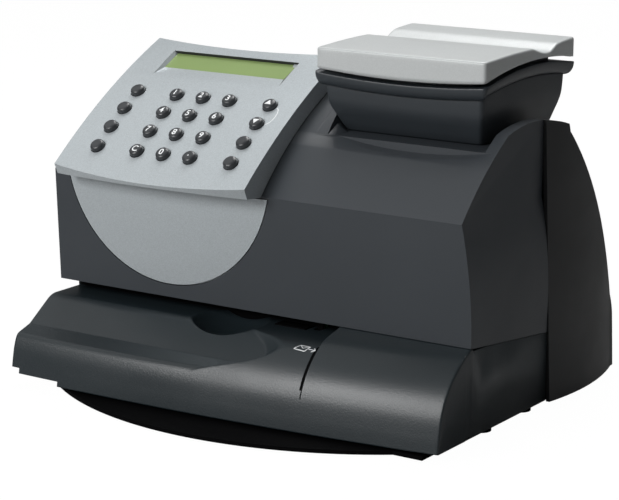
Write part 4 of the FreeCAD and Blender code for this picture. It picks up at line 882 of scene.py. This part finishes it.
def platter_top(y):
    """Side view of the platter: two shallow crowns with a rounded channel between them."""
    y_marks = np.array([-22.7, -3, 18, 30, 36, 44, 51, 58, 68, 72, 82, 90.7])
    z_marks = np.array([0, 0.9, 1.5, 1.5, 1.3, -1.0, -2.7, -2.7, 1.2, 1.7, 2.4, 2.8])
    return sizes().platter_height + through(z_marks, y_marks, y.ravel()).reshape(y.shape)


def build_platter():
    """A plate with a cross channel and rounded edges, and a skirt that hangs down to the lower edge."""
    edge_round, corner_round = 1.5, 2.5
    middle, half = np.array([PLATTER_X, PLATTER_Y]), np.array(PLATTER_HALF)
    edge = edge_round * (1 - np.sin(np.linspace(math.pi / 2, 0, 6)))
    lines = [np.concatenate([low + edge, inner, (high - edge)[::-1]]) for low, high, inner in
             zip(middle - half, middle + half, (np.linspace(24, 139, 60), np.linspace(-20, 88, 110)))]
    flat = np.stack(np.meshgrid(*lines), axis=-1)
    straight = half - corner_round
    over = flat - np.clip(flat, middle - straight, middle + straight)
    reach = np.abs(over).max(axis=-1, keepdims=True)
    flat += over * (reach / np.maximum(np.linalg.norm(over, axis=-1, keepdims=True), 1e-9) - 1)
    near = np.clip(edge_round - corner_round + reach, 0, edge_round)
    top = platter_top(flat[..., 1:]) - edge_round + np.sqrt(edge_round ** 2 - near ** 2)
    top = np.concatenate([flat, top], axis=-1)
    x, y, z = np.concatenate([top[0], top[1:, -1], top[-1, -2::-1], top[-2::-1, 0]]).T
    hang = z + np.linspace(0, 1, 7)[:, None] * (edge_height(x, y) - z)
    hang = np.stack(np.broadcast_arrays(x, y, hang), axis=-1)
    piece = thickened(joined("platter_plate", [top, hang], 50.0), 2.0)
    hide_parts("scale_platter")
    finished(piece, "platter", "weighing_platter")


def build_scale():
    """Platter, rim and tray."""
    build_platter()
    build_rim()
    build_tray()


INNER_FINISHES = {
    "foot_pads": "rubber", "cover_screws": "steel", "keypad_mat": "mat", "keypad_board": "board",
    "load_cell": "aluminium", "scale_board": "board", "platter_carrier": "rim", "carriage_frame": "steel",
    "carriage_rod": "rod", "carriage_belt": "rubber", "carriage_motor": "steel", "cap_station": "dark",
    "waste_ink_pad": "chassis", "main_board": "board", "power_socket": "dark", "data_socket": "steel",
    "print_carriage": "dark", "ink_cartridge": "cartridge", "drive_gear": "white_gear",
    "motor_pinion": "brass", "idler_pulley": "white_gear", "sensor_lever": "chassis",
}


def build_mechanism():
    """Gives the carried-over inner parts their finishes."""
    for node, finish in INNER_FINISHES.items():
        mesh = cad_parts[node].data
        mesh.materials.clear()
        mesh.materials.append(finish_of(finish))


# Stage

def floor_material():
    """Pale floor: near white to the camera, a dim grey to every other ray, and it keeps its shadow."""
    material, tree, shader = blank_material("Pale floor", Roughness=0.9, Specular_IOR_Level=0.1)
    noise = placed(grain_group(), material, Fineness=300.0, Cloud=2.0)
    tree.links.new(toned(tree, noise.outputs["Tone"], [0.30] * 3, [0.32] * 3), shader.inputs["Base Color"])
    glow = added(tree, "Emission", Strength=1.06)
    path = added(tree, "LightPath")
    mix = added(tree, "MixShader")
    tree.links.new(ranged(tree, path.outputs["Is Camera Ray"], 0.0, 0.93), mix.inputs["Fac"])
    tree.links.new(shader.outputs["BSDF"], mix.inputs[1])
    tree.links.new(glow.outputs["Emission"], mix.inputs[2])
    tree.links.new(mix.outputs["Shader"], tree.nodes["Material Output"].inputs["Surface"])
    return material


def build_floor():
    """A round floor: point = R (cos a, sin a, 0), under the feet."""
    radius, sides = 6000, 96
    angle = np.linspace(0, 2 * math.pi, sides + 1)[:-1]
    ring = np.stack([radius * np.cos(angle), radius * np.sin(angle), np.full(sides, -0.3)], axis=-1)
    floor = mesh_object("studio_floor", ring, [range(sides)])
    floor.data.materials.append(floor_material())


def build_world():
    """Even white surroundings, at full strength only for what the camera sees directly or through glass."""
    world = bpy.data.worlds.new("Studio")
    bpy.context.scene.world = world
    world.use_nodes = True
    tree = world.node_tree
    back = given(tree.nodes["Background"], Color=(1.0, 1.0, 1.0, 1.0))
    path = added(tree, "LightPath")
    seen = added(tree, "Math")
    seen.operation = "MAXIMUM"
    tree.links.new(path.outputs["Is Camera Ray"], seen.inputs[0])
    tree.links.new(path.outputs["Is Transmission Ray"], seen.inputs[1])
    tree.links.new(ranged(tree, seen.outputs["Value"], 0.13, 1.0), back.inputs["Strength"])


def build_lamp(name, place, aim, size, power):
    """A soft area lamp aimed at a point, in metres."""
    lamp = bpy.data.lights.new(name, "AREA")
    lamp.shape = "RECTANGLE"
    lamp.size, lamp.size_y = size
    lamp.energy = power
    holder = bpy.data.objects.new(name, lamp)
    holder.location = place
    holder.rotation_euler = (Vector(aim) - Vector(place)).to_track_quat("-Z", "Y").to_euler()
    bpy.context.scene.collection.objects.link(holder)


def build_camera():
    """Camera at the front right, a little above the machine."""
    lens = bpy.data.cameras.new("Camera")
    lens.sensor_width = 36.0
    lens.lens = 130.97
    lens.clip_end = 50.0
    holder = bpy.data.objects.new("Camera", lens)
    aim = Vector((42.18, -61.0, 105.78)) * MM
    azimuth, height, distance = math.radians(33.96), math.radians(13.2), 1378.45 * MM
    flat = math.cos(height)
    away = Vector((math.sin(azimuth) * flat, -math.cos(azimuth) * flat, math.sin(height)))
    holder.location = aim + away * distance
    holder.rotation_euler = away.to_track_quat("Z", "Y").to_euler()
    bpy.context.scene.collection.objects.link(holder)
    bpy.context.scene.camera = holder


def build_stage():
    """Camera, floor, surroundings and lamps."""
    build_camera()
    build_floor()
    build_world()
    build_lamp("key_lamp", (-0.48, -1.56, 0.86), (0.05, -0.1, 0.05), (0.9, 0.6), 23)
    build_lamp("side_lamp", (-1.1, -0.25, 1.5), (0, 0, 0.1), (1.4, 1.2), 3.5)
    build_lamp("top_lamp", (-0.2, 0.75, 1.75), (0, 0, 0.15), (1.2, 1.0), 27)
    bpy.context.scene.view_settings.view_transform = "Standard"


# Operators

class METER_OT_housing(bpy.types.Operator):
    """Main cover and chassis, with rounded edges"""
    bl_idname = "meter.housing"
    bl_label = "Housing"

    def execute(self, context):
        build_housing()
        return {"FINISHED"}


class METER_OT_front_cover(bpy.types.Operator):
    """Front cover with its flat deck, lap and thumb hollow"""
    bl_idname = "meter.front_cover"
    bl_label = "Front cover"

    def execute(self, context):
        build_front_cover()
        return {"FINISHED"}


class METER_OT_rear_cover(bpy.types.Operator):
    """Rear cover with bowed sides and vents"""
    bl_idname = "meter.rear_cover"
    bl_label = "Rear cover"

    def execute(self, context):
        build_rear_cover()
        return {"FINISHED"}


class METER_OT_panel(bpy.types.Operator):
    """Bent silver panel and round bib"""
    bl_idname = "meter.panel"
    bl_label = "Control panel"

    def execute(self, context):
        build_panel()
        return {"FINISHED"}


class METER_OT_display(bpy.types.Operator):
    """Display glass, its slopes, its walls painted dark as shade, and the module behind"""
    bl_idname = "meter.display"
    bl_label = "Display"

    def execute(self, context):
        build_display()
        return {"FINISHED"}


class METER_OT_keys(bpy.types.Operator):
    """Flat-topped key caps with their printed marks"""
    bl_idname = "meter.keys"
    bl_label = "Keys"

    def execute(self, context):
        build_keys()
        return {"FINISHED"}


class METER_OT_scale(bpy.types.Operator):
    """Weighing platter, rim and tray"""
    bl_idname = "meter.scale"
    bl_label = "Scale"

    def execute(self, context):
        build_scale()
        return {"FINISHED"}


class METER_OT_mechanism(bpy.types.Operator):
    """Finishes of the inner parts"""
    bl_idname = "meter.mechanism"
    bl_label = "Mechanism"

    def execute(self, context):
        build_mechanism()
        return {"FINISHED"}


class METER_OT_stage(bpy.types.Operator):
    """Floor, surroundings, lamps and camera"""
    bl_idname = "meter.stage"
    bl_label = "Stage"

    def execute(self, context):
        build_stage()
        return {"FINISHED"}


OPERATORS = (METER_OT_stage, METER_OT_housing, METER_OT_front_cover, METER_OT_rear_cover, METER_OT_panel,
             METER_OT_display, METER_OT_keys, METER_OT_scale, METER_OT_mechanism)


class METER_PT_sidebar(bpy.types.Panel):
    """Lists the pieces and their sizes"""
    bl_idname = "METER_PT_sidebar"
    bl_label = "Postage meter"
    bl_space_type = "VIEW_3D"
    bl_region_type = "UI"
    bl_category = "Meter"

    def draw(self, context):
        for operator in OPERATORS:
            self.layout.operator(operator.bl_idname)
        for group in (context.scene.meter_sizes, context.scene.meter_colours):
            box = self.layout.box()
            for name in group.__annotations__:
                box.prop(group, name)


CLASSES = (MeterSizes, MeterColours, *OPERATORS, METER_PT_sidebar)


def register():
    for item in CLASSES:
        bpy.utils.register_class(item)
    bpy.types.Scene.meter_sizes = PointerProperty(type=MeterSizes)
    bpy.types.Scene.meter_colours = PointerProperty(type=MeterColours)


def unregister():
    del bpy.types.Scene.meter_colours
    del bpy.types.Scene.meter_sizes
    for item in reversed(CLASSES):
        bpy.utils.unregister_class(item)


def main():
    """Builds every piece in order."""
    register()
    for operator in OPERATORS:
        group, name = operator.bl_idname.split(".")
        getattr(getattr(bpy.ops, group), name)()
    bpy.context.view_layer.update()


if __name__ == "__main__":
    main()
